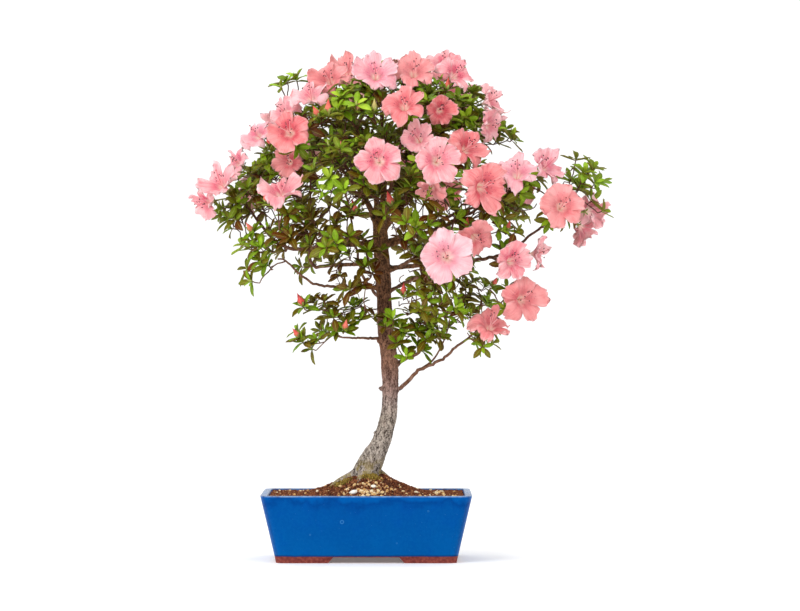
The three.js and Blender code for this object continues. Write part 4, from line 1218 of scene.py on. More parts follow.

# %% [markdown]
# ### Leaf colour
# A fresh satsuki leaf is yellow-green, and an old one in the crown's shade is dark olive or tinged with
# bronze. Each leaf carries its own tint, and painted shade also darkens that tint the nearer a leaf lies to
# the crown's heart. The midrib and side veins are paler lines drawn on the leaf's own map, the under face is
# dull and pale, and the upper face has a soft gloss.

# %% Leaf finish
LEAF_SHADES = [
    (0.0, 106, 42, 14), (0.17, 96, 48, 6), (0.35, 102, 78, 6), (0.48, 106, 106, 8),
    (0.62, 108, 142, 14), (0.82, 140, 178, 26), (1.0, 178, 206, 56),
]
leaf = Finish("leaf_green", 0.45, 0.18)
across, along = leaf.across_and_along()
tint, underneath = leaf.attribute("tint"), leaf.attribute("mark")
from_rib = abs(across - 0.5)
shade = leaf.ramp(tint + (leaf.uneven(260, 1, 2) - 0.5) * 0.3, LEAF_SHADES)
slant = along + from_rib * -0.5
veins = leaf.level(leaf.maths("SINE", slant * 62), 0.75, 1.0, 0.0, 0.12)
lines_on_leaf = leaf.maths("MAXIMUM", leaf.level(from_rib, 0.0, 0.06, 0.45, 0.0), veins)
upper, under = leaf.mix(lines_on_leaf, shade, (190, 206, 88)), leaf.mix(0.45, shade, (142, 144, 58))
leaf.give({
    "Base Color": leaf.mix(underneath, upper, under),
    "Roughness": leaf.level(underneath * 0.5 + leaf.uneven(400, 1, 2), 0.3, 1.0, 0.34, 0.62),
})
leaf.bump(lines_on_leaf, 0.5, 0.0006)
print("leaf nodes:", len(leaf.tree.nodes))

# %% Shoot and bud finishes
SHOOT_SHADES = [(0.2, 104, 78, 44), (0.6, 140, 132, 62), (0.95, 188, 196, 110)]
shoot = Finish("young_shoot", 0.5, 0.4)
mottle = shoot.attribute("tint") + shoot.uneven(700, 1, 2) * 0.3
shoot.give({"Base Color": shoot.ramp(mottle, SHOOT_SHADES)})
shoot.bump(shoot.uneven(1400, 1, 3), 0.3, 0.0003)

BUD_SHADES = [
    (0.0, 178, 190, 96), (0.3, 214, 176, 120), (0.55, 236, 120, 100), (0.85, 212, 60, 58),
    (1.0, 172, 36, 42),
]
bud_petal = Finish("bud_petal", 0.48, 0.35)
shade = bud_petal.ramp(bud_petal.attribute("tint"), BUD_SHADES)
streaks = bud_petal.level(bud_petal.uneven(420, 0.4, 3), 0.4, 0.7, 0.0, 0.2)
bud_petal.give({"Base Color": bud_petal.mix(streaks, shade, (250, 168, 150))})
bud_petal.bump(bud_petal.uneven(900, 0.4, 3), 0.35, 0.0004)
print("shoot nodes:", len(shoot.tree.nodes), "bud nodes:", len(bud_petal.tree.nodes))

# %% Leafy sprays
SHADE_HEART = np.array([20, 0, 400.0])  # where the crown is darkest
CROWN_REACH = np.array([225, 165, 200])  # mm from there to the crown's edge
DROP = 150  # mm from there down to the lowest leaves
LEAF_BUD_SHARE = 0.3
draw = draws(LEAF_SEED)
leaf_piles = {name: Pile() for name, _, _, _ in SPRAYS}
leaf_count = 0
for at, way, name in whorls:
    out = at - SHADE_HEART
    upper = np.array([out[0], out[1], max(out[2], 0)]) / CROWN_REACH
    depth = np.linalg.norm([*upper, min(out[2], 0) / DROP])  # 0 in the heart, 1 at the edge
    # partly the older bronze leaves inside, partly painted shade: a leaf's tint is darker the nearer it lies
    # to the crown's heart, and a touch lighter the higher it sits
    shade = np.clip(0.09 + 0.5 * depth + 0.00045 * out[2], 0.08, 0.66) + draw.normal(0, 0.14)
    scale = np.clip(0.8 + (at[2] - 250) / 800, 0.8, 1.0)  # the low, shaded shoots carry smaller leaves
    leaf_count += set_whorl(leaf_piles[name], at, way, draw, shade, scale)
    if draw.uniform() < LEAF_BUD_SHARE:
        set_leaf_bud(leaf_piles[name], at, way, draw.uniform(0.7, 1.1))
bud_wood = Pile()
for *place, turn, rise, size, tint in FLOWER_BUDS:
    at, way = np.array(place, float), facing(turn, rise)
    pile = leaf_piles[nearest_spray(at)]
    foot = at - way * 7 * size
    set_flower_bud(pile, foot, way, size, tint, draw)
    leaf_count += set_whorl(pile, foot - way * 1.0, way, draw, 0.6, 0.9)
    bud_wood.add(*stem(*twig_to(foot, way, draw, **FINE), 5), tint=0.55)
sprays = [
    pile.piece("spray_" + name, [leaf, shoot, bud_petal], "leaf", ["leaves_" + name])
    for name, pile in leaf_piles.items()
]
bud_wood.piece("bud_twigs", [twig_bark], "bark")
print("leaves:", leaf_count, "triangles:", sum(map(triangles, sprays)))

# %% [markdown]
# ## Blooms
# A bloom is a funnel of five petals, fused at the throat and spread flat at the face, where
# each rounded lobe overlaps the next and its margin is ruffled. One thin closed sheet is bent
# by a profile: how far out and how far up each row lies, how wide it is, and how far its
# edges hang back. Each petal gets its own waves. The top lobe carries the blotch of crimson
# dots, and the style and the dark-tipped stamens lean out of the throat.

# %% The petal's profile
# out from the axis, up from the foot, half width, how far the edges fall back; in radii
PETAL_ROWS, _ = smooth_line([
    (0.02, 0.04, 0.03, 0.01), (0.10, 0.20, 0.096, 0.02), (0.19, 0.36, 0.172, 0.03),
    (0.32, 0.49, 0.275, 0.05), (0.48, 0.60, 0.352, 0.05), (0.66, 0.665, 0.43, 0.06),
    (0.85, 0.68, 0.45, 0.10), (1.02, 0.66, 0.30, 0.19),
], 30)
OPENS_AT = 0.42  # the share of a petal's length where the funnel ends and the lobe starts
PETAL_THICKNESS = 0.5  # mm
PETAL_UV = map_of(PETAL_SHEET)
PETAL_SLOT, THREAD_SLOT, ANTHER_SLOT, STALK_SLOT = 0, 1, 2, 3


def petal_surface(draw, curl):
    """The front face of one petal of radius 1, growing out along X, with the axis along Z."""
    phase = draw.uniform(0, 1, 4) * ANY_TURN
    wide = draw.uniform(0.93, 1.12) - 1
    tip_over = draw.normal(0.05, 0.08)
    long = draw.uniform(0.9, 1.07) - 1
    rows = np.linspace(0, 1, len(PETAL_ROWS))

    def surface(u, v):
        out, up, half, back = [np.interp(v, rows, column) for column in PETAL_ROWS.T]
        lobe = np.clip((v - OPENS_AT) / (1 - OPENS_AT), 0, 1)  # 0 in the funnel, 1 at the tip
        edge = np.abs(u)
        out = out * (1 + long * lobe) - back * edge**2.2
        out += 0.02 * lobe * np.sin(10.5 * u + phase[0]) + 0.011 * lobe**2 * np.sin(15 * u + phase[1])
        lateral = -u * half * (1 + wide * lobe) + 0.03 * lobe * np.sin(7 * v + phase[1])
        ruffle = 0.125 * np.sin(5.6 * u + phase[2]) * (0.3 + edge) + 0.065 * np.sin(11 * u + 5 * v + phase[3])
        up = up + (0.16 + tip_over) * u * lobe - curl * lobe**2.4  # one edge over the next petal
        up += lobe**1.6 * ruffle + 0.07 * lobe * edge**3
        up += 0.02 * np.cos(9 * u) * lobe * (1 - 0.5 * v)
        up -= 0.085 * np.exp(-((u / 0.2) ** 2)) * np.sin(math.pi * v)  # the groove on the midline
        return np.column_stack([out, lateral, up])

    return surface


print("rows along a petal:", len(PETAL_ROWS))

# %% Petals and threads of a bloom
STAMENS = 6
BLOTCH_SHARE = (1.0, 0.45, 0.0)  # for the top petal, the two beside it and the two below


def set_petals(pile, foot, axes, radius, top, draw):
    tint = draw.uniform(0.25, 0.75)
    for i in range(5):
        turn = (i + 0.5) * FIFTH_TURN + draw.normal(0, 0.07)
        c, s = math.cos(turn), math.sin(turn)
        surface = petal_surface(draw, draw.uniform(-0.26, 0.46))
        shape = bent(PETAL_SHEET, surface, PETAL_THICKNESS / radius) @ [[c, s, 0], [-s, c, 0], [0, 0, 1]]
        apart = min((i - top) % 5, (top - i) % 5)
        own = np.clip(tint + draw.uniform(-0.22, 0.22), 0, 1)
        points = foot + radius * shape @ axes
        pile.add(points, PETAL_SHEET["faces"], PETAL_SLOT, PETAL_UV, own, BLOTCH_SHARE[apart])


def set_threads(pile, foot, way, axes, radius, lead, draw):
    """A style with its round tip, and then the stamens with their anthers, leaning to lead."""
    for k in range(1 + STAMENS):
        is_style = k == 0
        turn = draw.uniform(0, ANY_TURN)
        spread = radius * (0.1 if is_style else draw.uniform(0.08, 0.34))
        out = outwards(axes[0], axes[1], turn) * spread + lead * radius * draw.uniform(0.06, 0.24)
        tall = radius * (1.16 if is_style else draw.uniform(0.72, 1.0))
        line, _ = smooth_line([
            foot + way * 0.1 * radius + unit(out) * 0.5, foot + way * 0.5 * radius + out * 0.12,
            foot + way * 0.8 * tall + out * 0.6, foot + way * tall + out,
        ], 7)
        radii = np.linspace(0.36, 0.22, 8) * (1.35 if is_style else 1)
        pile.add(*stem(line, radii, 5), THREAD_SLOT, tint=0.9 if is_style else 0.35)
        tip = line[-1]
        if is_style:
            knob = tip + way * np.linspace(-0.3, 1.0, 4)[:, None]
            pile.add(*stem(knob, [0.45, 0.95, 0.9, 0.35], 7), THREAD_SLOT, tint=1.0)
        else:
            lie = unit(np.cross(way, draw.normal(0, 1, 3)) + way * 0.4)
            anther = tip + lie * np.linspace(-1.0, 1.0, 5)[:, None]
            pile.add(*stem(anther, [0.28, 0.62, 0.7, 0.62, 0.28], 6), ANTHER_SLOT)


print("threads in a bloom:", 1 + STAMENS)


# %% A bloom and its stalk
def set_bloom(pile, foot, way, across, draw):
    axes = np.array([*frame_round(way), way])
    leads = [outwards(axes[0], axes[1], (i + 0.5) * FIFTH_TURN) for i in range(5)]
    top = int(np.argmax([lead[2] for lead in leads]))
    set_petals(pile, foot, axes, across / 2, top, draw)
    set_threads(pile, foot, way, axes, across / 2, leads[top], draw)


def set_flower_stalk(pile, bud, foot, way, truss_way):
    """A green stalk with a small cup of sepals under the bloom."""
    gap = np.linalg.norm(foot - bud)
    line, _ = smooth_line([bud, bud + truss_way * gap * 0.3, foot - way * gap * 0.3, foot + way * 0.9], 9)
    radii = np.array([1.0, 0.95, 0.9, 0.88, 0.88, 0.9, 0.95, 1.1, 1.5, 1.8])
    pile.add(*stem(line, radii, 7), STALK_SLOT, tint=0.6)
    side, over = frame_round(way)
    for k in range(5):
        out = outwards(side, over, k * FIFTH_TURN)
        set_leaf(pile, 1, foot - way * 0.6 + out * 1.2, out + way * 0.6, way, 5.2, 0.6, STALK_SLOT)


test = Pile()
set_bloom(test, np.zeros(3), np.array([0.0, 0.0, 1.0]), 50, draws(0))
print("corners in one bloom:", test.size)

# %% [markdown]
# ### Petal colour
# The face is a soft salmon pink. It deepens towards the throat and along the midline of each petal, pales at
# the ruffled margin, and is finely veined. Painted shade also darkens the groove on the midline, and the low
# edge of each petal where it lies under its neighbour. The petal's own map gives how far along and across a
# place is, so all of these can be ramps and masks on that map. A little of the colour is also given off as
# painted light, standing in for light that comes through thin petals, and most of all at the throat, which
# would otherwise lie in shade. Three tints are made by the same function, since one plant carries pale, pink
# and coral blooms.


# %% Petal finishes
def petal_finish(name, body, margin, deep, blotch):
    f = Finish(name, 0.5, 0.25)
    across, along = f.across_and_along()
    tint = f.attribute("tint")
    from_middle = abs(across - 0.5)
    shade = f.ramp(along + (f.uneven(120, 1, 2) - 0.5) * 0.24, [
        (0.0, 254, 250, 214), (0.16, 254, 232, 214), (0.3, *body), (0.4, *deep), (0.62, *body),
        (0.86, *body), (1.0, *margin),
    ])
    edge = f.level(from_middle + along * 0.14, 0.42, 0.62, 0.0, 0.8)
    # painted shade: the low edge of each petal lies under its neighbour, and is darkened to a deeper pink
    painted_overlap_shade = f.level(across, 0.2, 0.03, 0.0, 0.5) * f.level(along, 0.86, 0.7)
    # the midline's own deeper pink, with painted shade in its groove
    midline_colour_and_shade = f.level(from_middle, 0.0, 0.075, 0.55, 0.0) * f.level(along, 0.95, 0.4)
    fan = f.vector((across - 0.5) / (along + 0.35) * 34, along * 3.2, tint * 40)
    veins = f.node("TexNoise", {"Vector": fan, "Scale": 1.0, "Detail": 3.0})
    patches = f.uneven(75, 1, 3)
    spread = f.vector(across * 11, along * 15, tint * 30)
    dots = f.node("TexVoronoi", {"Vector": spread, "Scale": 1.0}, "Distance")
    field = f.level(from_middle, 0.34, 0.16) * (f.level(along, 0.24, 0.34) * f.level(along, 0.72, 0.55))
    field = field * f.attribute("mark")
    dot = f.level(dots, 0.34, 0.2) * f.level(field, 0.15, 0.5)
    for share, over in [
        (edge, margin), (painted_overlap_shade, deep), (midline_colour_and_shade, deep),
        (f.level(veins, 0.5, 0.72, 0.0, 0.52), deep), (f.level(veins, 0.5, 0.28, 0.0, 0.44), margin),
        (f.level(patches, 0.5, 0.66, 0.0, 0.38), margin), (f.level(patches, 0.5, 0.34, 0.0, 0.3), deep),
        (field * 0.62, deep), (dot * 0.92, blotch), (f.level(tint, 0.15, 0.85, 0.0, 0.42), margin),
    ]:
        shade = f.mix(share, shade, over)
    # painted light: each petal gives off a little of its own colour, and the throat gives off a pale cream
    # glow that lifts its shade
    painted_glow, throat = f.mix(0.7, shade, (0, 0, 0)), f.level(along, 0.36, 0.08)
    f.give({
        "Base Color": shade,
        "Emission Color": f.mix(throat, painted_glow, (255, 206, 190)),
        "Emission Strength": 0.24,
    })
    f.bump(veins, 0.8, 0.0017)
    return f


# name, body, margin, deep, blotch
PETALS = {
    PINK: ("petal_salmon_pink", (235, 153, 157), (247, 204, 206), (226, 100, 122), (184, 30, 90)),
    CORAL: ("petal_coral", (228, 128, 128), (241, 174, 172), (212, 78, 92), (170, 24, 74)),
    PALE: ("petal_pale_pink", (235, 158, 164), (248, 207, 212), (226, 112, 136), (190, 44, 110)),
}
petals = {tone: petal_finish(*row) for tone, row in PETALS.items()}
print("petal finishes:", [f.material.name for f in petals.values()])

# %% Stamen and stalk finishes
threads = Finish("stamen_threads", 0.5, 0.3)
THREAD_SHADES = [(0.2, 253, 206, 204), (0.8, 244, 140, 150), (1.0, 160, 70, 70)]
threads.give({"Base Color": threads.ramp(threads.attribute("tint"), THREAD_SHADES)})
threads.bump(threads.uneven(1500, 1, 2), 0.2, 0.0002)
anthers = Finish("dark_anthers", 0.65, 0.3)
ANTHER_SHADES = [(0.35, 44, 22, 32), (0.65, 92, 48, 56)]
anthers.give({"Base Color": anthers.ramp(anthers.uneven(900, 1, 2), ANTHER_SHADES)})
anthers.bump(anthers.uneven(1800, 1, 2), 0.4, 0.0003)
stalks = Finish("flower_stalk", 0.5, 0.35)
STALK_SHADES = [(0.35, 112, 96, 50), (0.55, 132, 142, 62), (0.7, 168, 168, 92)]
stalks.give({"Base Color": stalks.ramp(stalks.uneven(300, 0.4, 3), STALK_SHADES)})
stalks.bump(stalks.uneven(1500, 1, 2), 0.3, 0.0003)
print("finishes of a truss:", [f.material.name for f in (threads, anthers, stalks)])

# %% Trusses of blooms
bloom_triangles = 0
for k, (blooms, (bud, truss_way, feet)) in enumerate(zip(TRUSSES, BUDS), start=1):
    draw = draws(BLOOM_SEED + k)
    pile = Pile()
    for (foot, way), bloom in zip(feet, blooms):
        set_bloom(pile, foot, way, bloom[5], draw)
        set_flower_stalk(pile, bud, foot, way, truss_way)
    tone = blooms[0][6]
    finishes = [petals[tone], threads, anthers, stalks]
    truss = pile.piece(f"truss_{k:02d}", finishes, tone, [f"blooms_{k:02d}"])
    bloom_triangles += triangles(truss)
print("bloom triangles:", bloom_triangles)

# %% [markdown]
# ## The pot
# The pot was built from slabs: a box whose walls lean out, with rounded upright corners and a
# plain lip, glazed blue all over but for its four bare clay feet. The body and the hollow are
# each a cube, drawn in at its foot and bevelled along its upright edges, and one is cut from
# the other. The ring of feet is made the same way, and two long wedges cut across it leave
# the four corners. Last, a small bevel rounds each sharp edge, as glaze and wear do.

# %% Pot measures
RIM = (125, 87.5)  # half length and half depth
POT_TOP, UNDER, FLOOR = 80, 7, 15
WALL, TAPER, CORNER = 7.5, 16.5, 13
LIP_WALL = WALL - 2.2  # the hollow's inset at the top
HOLLOW_CORNER, FEET_CORNER, FEET_WIDTH = 9, 10, 15
DRAIN_X, DRAIN_RADIUS = 50, 10
LONG_GAP, SHORT_GAP, GAP_SLOPE = 45.9, 25.9, 6.9  # half the gaps between the feet, and their lean


def lean(z):
    """How far the wall has come in at a height."""
    return TAPER * (POT_TOP - z) / (POT_TOP - UNDER)


print("the wall leans in by", lean(UNDER), "mm over", POT_TOP - UNDER)

# %% A box drawn in at its foot
NEAR = 1e-5  # m


def box_between(low, high, name="tool"):
    """A box from one corner to the other, in millimetres."""
    obj = added(bpy.ops.mesh.primitive_cube_add, size=1)
    obj.name = name
    a, b = in_frame(low), in_frame(high)
    obj.data.transform(Matrix.Translation(Vector((a + b) / 2)) @ Matrix.Diagonal((*(b - a), 1)))
    return obj


def tapered_box(low, high, corner, inset_low, inset_high, name="tool"):
    """A box from height low to high, inset from the rim, with rounded upright corners."""
    foot, top = (np.array([RIM[0] - inset, RIM[1] - inset]) for inset in (inset_low, inset_high))
    obj = box_between((*-top, low), (*top, high), name)
    start_editing(obj)
    pick(obj, lambda c: c.z < low / MM + NEAR)
    bpy.ops.transform.resize(value=(*foot / top, 1), center_override=tuple(in_frame([0, 0, low])))
    if corner:
        pick(obj, lambda c: abs(c.z - (low + high) / 2 / MM) < 10 * NEAR, "EDGE")
        bpy.ops.mesh.bevel(offset=corner / MM, segments=8)
    bpy.ops.object.mode_set(mode="OBJECT")
    return obj


def wedge(low, high, along, slope):
    """A long bar whose two long sides lean in towards its top."""
    obj = box_between(low, high)
    start_editing(obj)
    pick(obj, lambda c: c.z > high[2] / MM - NEAR)
    shrink = [1, 1, 1]
    shrink[1 - along] = 1 - 2 * slope / (high[1 - along] - low[1 - along])
    bpy.ops.transform.resize(value=shrink)
    bpy.ops.object.mode_set(mode="OBJECT")
    return obj


pot = tapered_box(UNDER, POT_TOP, CORNER, lean(UNDER), 0, "glazed_pot")
print("faces of the pot's outer body:", len(pot.data.polygons))


# %% Hollow, feet and drain holes
def combine(obj, tool, how="DIFFERENCE"):
    """Cuts tool out of obj, or joins it on, and removes the tool."""
    modify(obj, "BOOLEAN", operation=how, object=tool, solver="EXACT")
    bpy.data.objects.remove(tool)


def finish_editing():
    """Turns every face of the open mesh outwards, and closes it."""
    bpy.ops.mesh.select_all(action="SELECT")
    bpy.ops.mesh.normals_make_consistent(inside=False)
    bpy.ops.object.mode_set(mode="OBJECT")


combine(pot, tapered_box(FLOOR, POT_TOP + 10, HOLLOW_CORNER, WALL + lean(FLOOR) + 1.5, LIP_WALL))
feet = tapered_box(0, UNDER + 1, FEET_CORNER, lean(0), lean(UNDER + 1) + 0.3)
combine(feet, tapered_box(-2, UNDER + 2, 0, lean(0) + FEET_WIDTH, lean(0) + FEET_WIDTH))
combine(feet, wedge((-LONG_GAP, -120, -1), (LONG_GAP, 120, UNDER + 0.02), 1, GAP_SLOPE))
combine(feet, wedge((-150, -SHORT_GAP, -1), (150, SHORT_GAP, UNDER + 0.02), 0, GAP_SLOPE))
combine(pot, feet, "UNION")
for x in (-DRAIN_X, DRAIN_X):
    place = tuple(in_frame([x, 0, 10]))
    drill = {"vertices": 40, "radius": DRAIN_RADIUS / MM, "depth": 0.03, "location": place}
    combine(pot, added(bpy.ops.mesh.primitive_cylinder_add, **drill))
start_editing(pot)
bpy.ops.mesh.select_all(action="SELECT")
bpy.ops.mesh.remove_doubles(threshold=2 * NEAR)
bpy.ops.mesh.dissolve_limited(angle_limit=0.01)
finish_editing()
print("pot faces before its edges are rounded:", len(pot.data.polygons))

# %% Rounded edges
SHARP = math.radians(35)
modify(pot, "BEVEL", width=0.0013, segments=3, limit_method="ANGLE", angle_limit=SHARP)
bpy.ops.object.shade_smooth_by_angle(angle=math.radians(28))
print("pot triangles:", triangles(pot))

# %% [markdown]
# ### Glaze and clay
# A cobalt glaze pools darker just above the feet, and runs thin over the lip, where the clay shows through
# paler and browner; a painted highlight runs along the lip, and a band of painted shadow lies under it. The
# glaze also darkens a little towards the top, and painted shade darkens the upright corners. A few small pits
# have pale rings. The bare feet are fired red clay. One material tells glaze and clay apart by height, with a
# slightly wavy line between them.

# %% Glaze finish
# the glaze darkens a little towards the top; the dip near 0.9 is a painted shadow under the lip
GLAZE_AND_UNDER_LIP_SHADE = [
    (0.1, 0, 84, 154), (0.45, 0, 77, 147), (0.8, 0, 72, 143), (0.9, 0, 60, 130), (0.97, 0, 78, 152),
]
LIP_GLAZE_AND_HIGHLIGHT = [(0.3, 92, 84, 96), (0.5, 96, 132, 178), (0.7, 140, 176, 210)]
CLAY_SHADES = [(0.3, 104, 47, 41), (0.5, 126, 60, 52), (0.7, 150, 80, 66)]
PITS = [(-28.4, 49.4, 2.8), (73, 62.3, 1.4), (-66, 34, 1.3), (36, 24, 1.2)]  # x, z and reach, mm
glaze = Finish("cobalt_glaze_and_clay", 0.3, 0.14)
x, y = ((glaze.place(axis) - float(POT_MIDDLE[axis])) * MM for axis in (0, 1))
z = glaze.place(2) * MM
slope_in = (POT_TOP - z) * (TAPER / (POT_TOP - UNDER))
past_x, past_y = (abs(side) - (half - CORNER * 0.62) + slope_in for side, half in zip((x, y), RIM))
corner_shade = glaze.level(glaze.maths("MINIMUM", past_x, past_y), 2.6, 4.6)
blots, fine_blots = glaze.uneven(38, 1, 3), glaze.uneven(240, 1, 4)
body = glaze.ramp(z * (1 / POT_TOP) + (blots - 0.5) * 0.5, GLAZE_AND_UNDER_LIP_SHADE)
body = glaze.mix(glaze.level(glaze.uneven(70, 1, 4), 0.52, 0.72, 0.0, 0.3), body, (0, 70, 150))
body = glaze.mix(glaze.specks(160, 0.05), body, (60, 110, 170))
# the lip: thin glaze over paler clay, with a painted highlight along it
lip_and_highlight = glaze.ramp(glaze.uneven(120, 1, 4), LIP_GLAZE_AND_HIGHLIGHT)
glazed = glaze.mix(glaze.level(z, 78.1, 79.7, 0.0, 0.8), body, lip_and_highlight)
# painted shade along the rounded upright corners, patchy
painted_corner_shade = corner_shade * glaze.level(fine_blots, 0.3, 0.65, 0.2, 0.7)
glazed = glaze.mix(painted_corner_shade, glazed, (16, 52, 104))
clay = glaze.ramp(glaze.uneven(300, 1, 5), CLAY_SHADES)
clay = glaze.mix(glaze.specks(900, 0.2), clay, (88, 40, 34))
above_line = z - ((glaze.uneven(50, 1, 2) - 0.5) * 1.6 + (UNDER + 0.9))
is_glazed = glaze.level(above_line, -0.25, 0.25)
pooled = glaze.level(above_line, 0.3, 2.6, 0.75, 0.0)
pits, rings = glaze.specks(140, 0.1) * -0.18, 0.0
for pit_x, pit_z, reach in PITS:
    off_x, off_z = x - pit_x, z - pit_z
    away = glaze.maths("SQRT", off_x * off_x + off_z * off_z)
    pits = pits + glaze.level(away, 0.0, reach, 0.9, 0.0)
    rings = rings + glaze.level(away, 0.35 * reach, 0.65 * reach) * glaze.level(away, reach, 0.7 * reach)
on_front = glaze.level(y, -60, -62)
glazed = glaze.mix(rings * on_front * 0.45, glazed, (70, 140, 196))
glaze.give({
    "Specular Tint": [0.1, 0.55, 1.0, 1],
    "Base Color": glaze.mix(is_glazed, clay, glaze.mix(pooled, glazed, (14, 34, 78))),
    "Roughness": is_glazed * glaze.level(fine_blots, 0.3, 0.7, 0.2, 0.34) + (1.0 - is_glazed) * 0.85,
})
glaze.bump(blots * 3.0 + glaze.uneven(400, 1, 1) * 0.05 + pits, 0.35, 0.0012)
dress(pot, [glaze], ["pot"])
print("glaze nodes:", len(glaze.tree.nodes))

# %% [markdown]
# ## Soil, gravel and moss
# The pot is filled with small baked clay grains, and a mound of them covers the roots, with
# pale gravel strewn over it and a little moss against the trunk. The body of the soil is a
# grid heaped up by a formula and cut to the pot's hollow. Grains and pebbles are modelled once
# in a few kinds, and strewn over it by seeded draws, as are the moss tips, which are stems.

# %% The heaped soil
SOIL_EDGE, MOUND, MOUND_REACH = 77, 27, 62  # mm: height at the wall, rise in the middle, reach
NET_HALF = 17.4  # half the side of the room for a drain net
HEAP_HALF, HEAP_DEPTH = (121, 84), 75  # mm: half the grid's two sides, and how deep it is made


def soil_height(x, y):
    return SOIL_EDGE + MOUND * np.exp(-1.6 * (np.hypot(x, 1.15 * y) / MOUND_REACH) ** 2)


soil = added(bpy.ops.mesh.primitive_grid_add, x_subdivisions=150, y_subdivisions=104, size=2)
soil.name = "soil_body"
draw = draws(SOIL_SEED)
place = np.array([v.co for v in soil.data.vertices]) * [*HEAP_HALF, 1]
place[:, 2] = soil_height(place[:, 0], place[:, 1]) + draw.normal(0, 0.55, len(place))
soil.data.vertices.foreach_set("co", in_frame(place).ravel())
start_editing(soil)
bpy.ops.mesh.select_all(action="SELECT")
bpy.ops.mesh.extrude_region_move(TRANSFORM_OT_translate={"value": (0, 0, -HEAP_DEPTH / MM)})
finish_editing()
inset = WALL + lean(FLOOR) + 2.0
combine(soil, tapered_box(FLOOR + 0.4, 120, HOLLOW_CORNER, inset, LIP_WALL - 0.8), "INTERSECT")
for x in (-DRAIN_X, DRAIN_X):
    room = (x - NET_HALF, -NET_HALF, FLOOR - 1), (x + NET_HALF, NET_HALF, FLOOR + 1.9)
    combine(soil, box_between(*room))
only(soil)
bpy.ops.object.shade_smooth()
DEEP_SOIL_SHADES = [(0.3, 44, 24, 18), (0.5, 84, 48, 34), (0.7, 128, 80, 54)]
deep_soil = Finish("soil_between_grains", 0.95, 0.1)
deep_soil.give({"Base Color": deep_soil.ramp(deep_soil.uneven(430, 1, 5), DEEP_SOIL_SHADES)})
deep_soil.bump(deep_soil.uneven(700, 1, 4), 0.8, 0.0012)
dress(soil, [deep_soil], ["soil"])
print("soil triangles:", triangles(soil))


# %% Kinds of grain
def lump(seed, fineness, roughness, squash=0.75):
    """A small stone of size 1, from a round shape with its corners pushed in and out."""
    ball = added(bpy.ops.mesh.primitive_ico_sphere_add, subdivisions=fineness, radius=0.5)
    place, faces = taken_apart(ball)
    dice = draws(seed)
    place *= 1 + dice.uniform(-roughness, roughness, (len(place), 1))
    return place * [1, dice.uniform(0.7, 0.95), squash], faces


GRAIN_KINDS = [lump(k, 1, 0.26) for k in range(6)]
PEBBLE_KINDS = [lump(20 + k, 2, 0.13, 0.65) for k in range(5)]
STONES = [
    # x, y, size, tint: 0 dark brown, 0.5 ochre, 1 white
    (-15.3, -59.5, 10.5, 0.98), (8.1, -40.5, 6.5, 0.95), (59.2, -35, 6, 0.84), (85.8, -10, 6, 0.66),
    (-6, -55.5, 7, 0.8), (1.2, -59, 6.5, 0.74), (-9.6, -47.5, 5.5, 0.72), (18.9, -55, 5.5, 0.7),
    (5.9, -53.5, 6, 0.85), (-58.7, -29, 5.5, 0.82), (-80.4, 20.5, 5, 0.7), (29.5, -41.5, 5.5, 0.6),
    (-22.7, -44.5, 5, 0.76), (23.6, -36, 5, 0.55), (14.1, -49.5, 5.5, 0.68), (43.8, -41, 5, 0.7),
    (90.2, 23, 6, 0.72), (83.2, -21, 6.5, 0.8), (-3.8, -34.5, 5, 0.7), (-31.2, -32, 5, 0.66),
    (92, -34, 5.5, 0.7), (10, -63, 5.5, 0.78), (-26, -63, 5, 0.62), (64, -60, 5, 0.66),
]
print("kinds of grain:", len(GRAIN_KINDS), "kinds of pebble:", len(PEBBLE_KINDS))

# %% Strewing
WOOD_AT = [(-6, 1, 17.5), (-30, -9, 7), (-46, -14, 5.5), (12, -9, 9), (24, -22, 6)]  # x, y, reach
FIELD = (115, 78)  # mm, half the length and half the depth that grains are strewn over


def turned(dice):
    """A turn in space, as three directions."""
    a = unit(dice.normal(0, 1, 3))
    b = unit(np.cross(a, dice.normal(0, 1, 3)))
    return np.array([a, b, np.cross(a, b)])


def strew(pile, kinds, count, sizes, tints, dice, sunk, near=None):
    """Stones over the heap: none in the wood, and within near = (x, y, spread) if it is given."""
    laid = 0
    while laid < count:
        if near:
            x, y = dice.normal(near[0], near[2]), dice.normal(near[1], near[2])
        else:
            x, y = (dice.uniform(-half, half) for half in FIELD)
        in_wood = any(math.hypot(x - a, y - b) < r for a, b, r in WOOD_AT)
        if abs(x) > FIELD[0] or abs(y) > FIELD[1] or in_wood:
            continue
        size = dice.uniform(*sizes)
        points, faces = kinds[int(dice.integers(0, len(kinds)))]
        z = soil_height(x, y) + size * (0.3 - sunk)
        pile.add(points @ turned(dice) * size + [x, y, z], faces, tint=dice.uniform(*tints))
        laid += 1


draw = draws(GRAIN_SEED)
grains, pebbles = Pile(), Pile()
# how many, the range of sizes, the range of tints, how far sunk, and where they lie thicker
for count, sizes, tints, sunk, near in [
    (4700, (1.9, 4.0), (0.04, 0.34), 0.15, None), (900, (2.0, 3.6), (0.28, 0.5), 0.15, None),
    (160, (2.0, 3.6), (0.5, 0.8), 0.1, None), (110, (2.2, 4.2), (0.4, 0.8), 0.1, (2, -46, 17)),
]:
    strew(grains, GRAIN_KINDS, count, sizes, tints, draw, sunk, near)
strew(pebbles, PEBBLE_KINDS, 46, (3.2, 5.2), (0.45, 0.85), draw, 0.1)
strew(pebbles, PEBBLE_KINDS, 26, (3.4, 5.4), (0.5, 0.85), draw, 0.05, (2, -52, 13))
for x, y, size, tint in STONES:
    points, faces = PEBBLE_KINDS[int(draw.integers(0, len(PEBBLE_KINDS)))]
    z = soil_height(x, y) + size * 0.26
    pebbles.add(points @ turned(draw) * [1, 1, 0.8] * size + [x, y, z], faces, tint=tint)
print("corners of grains:", grains.size, "and of pebbles:", pebbles.size)

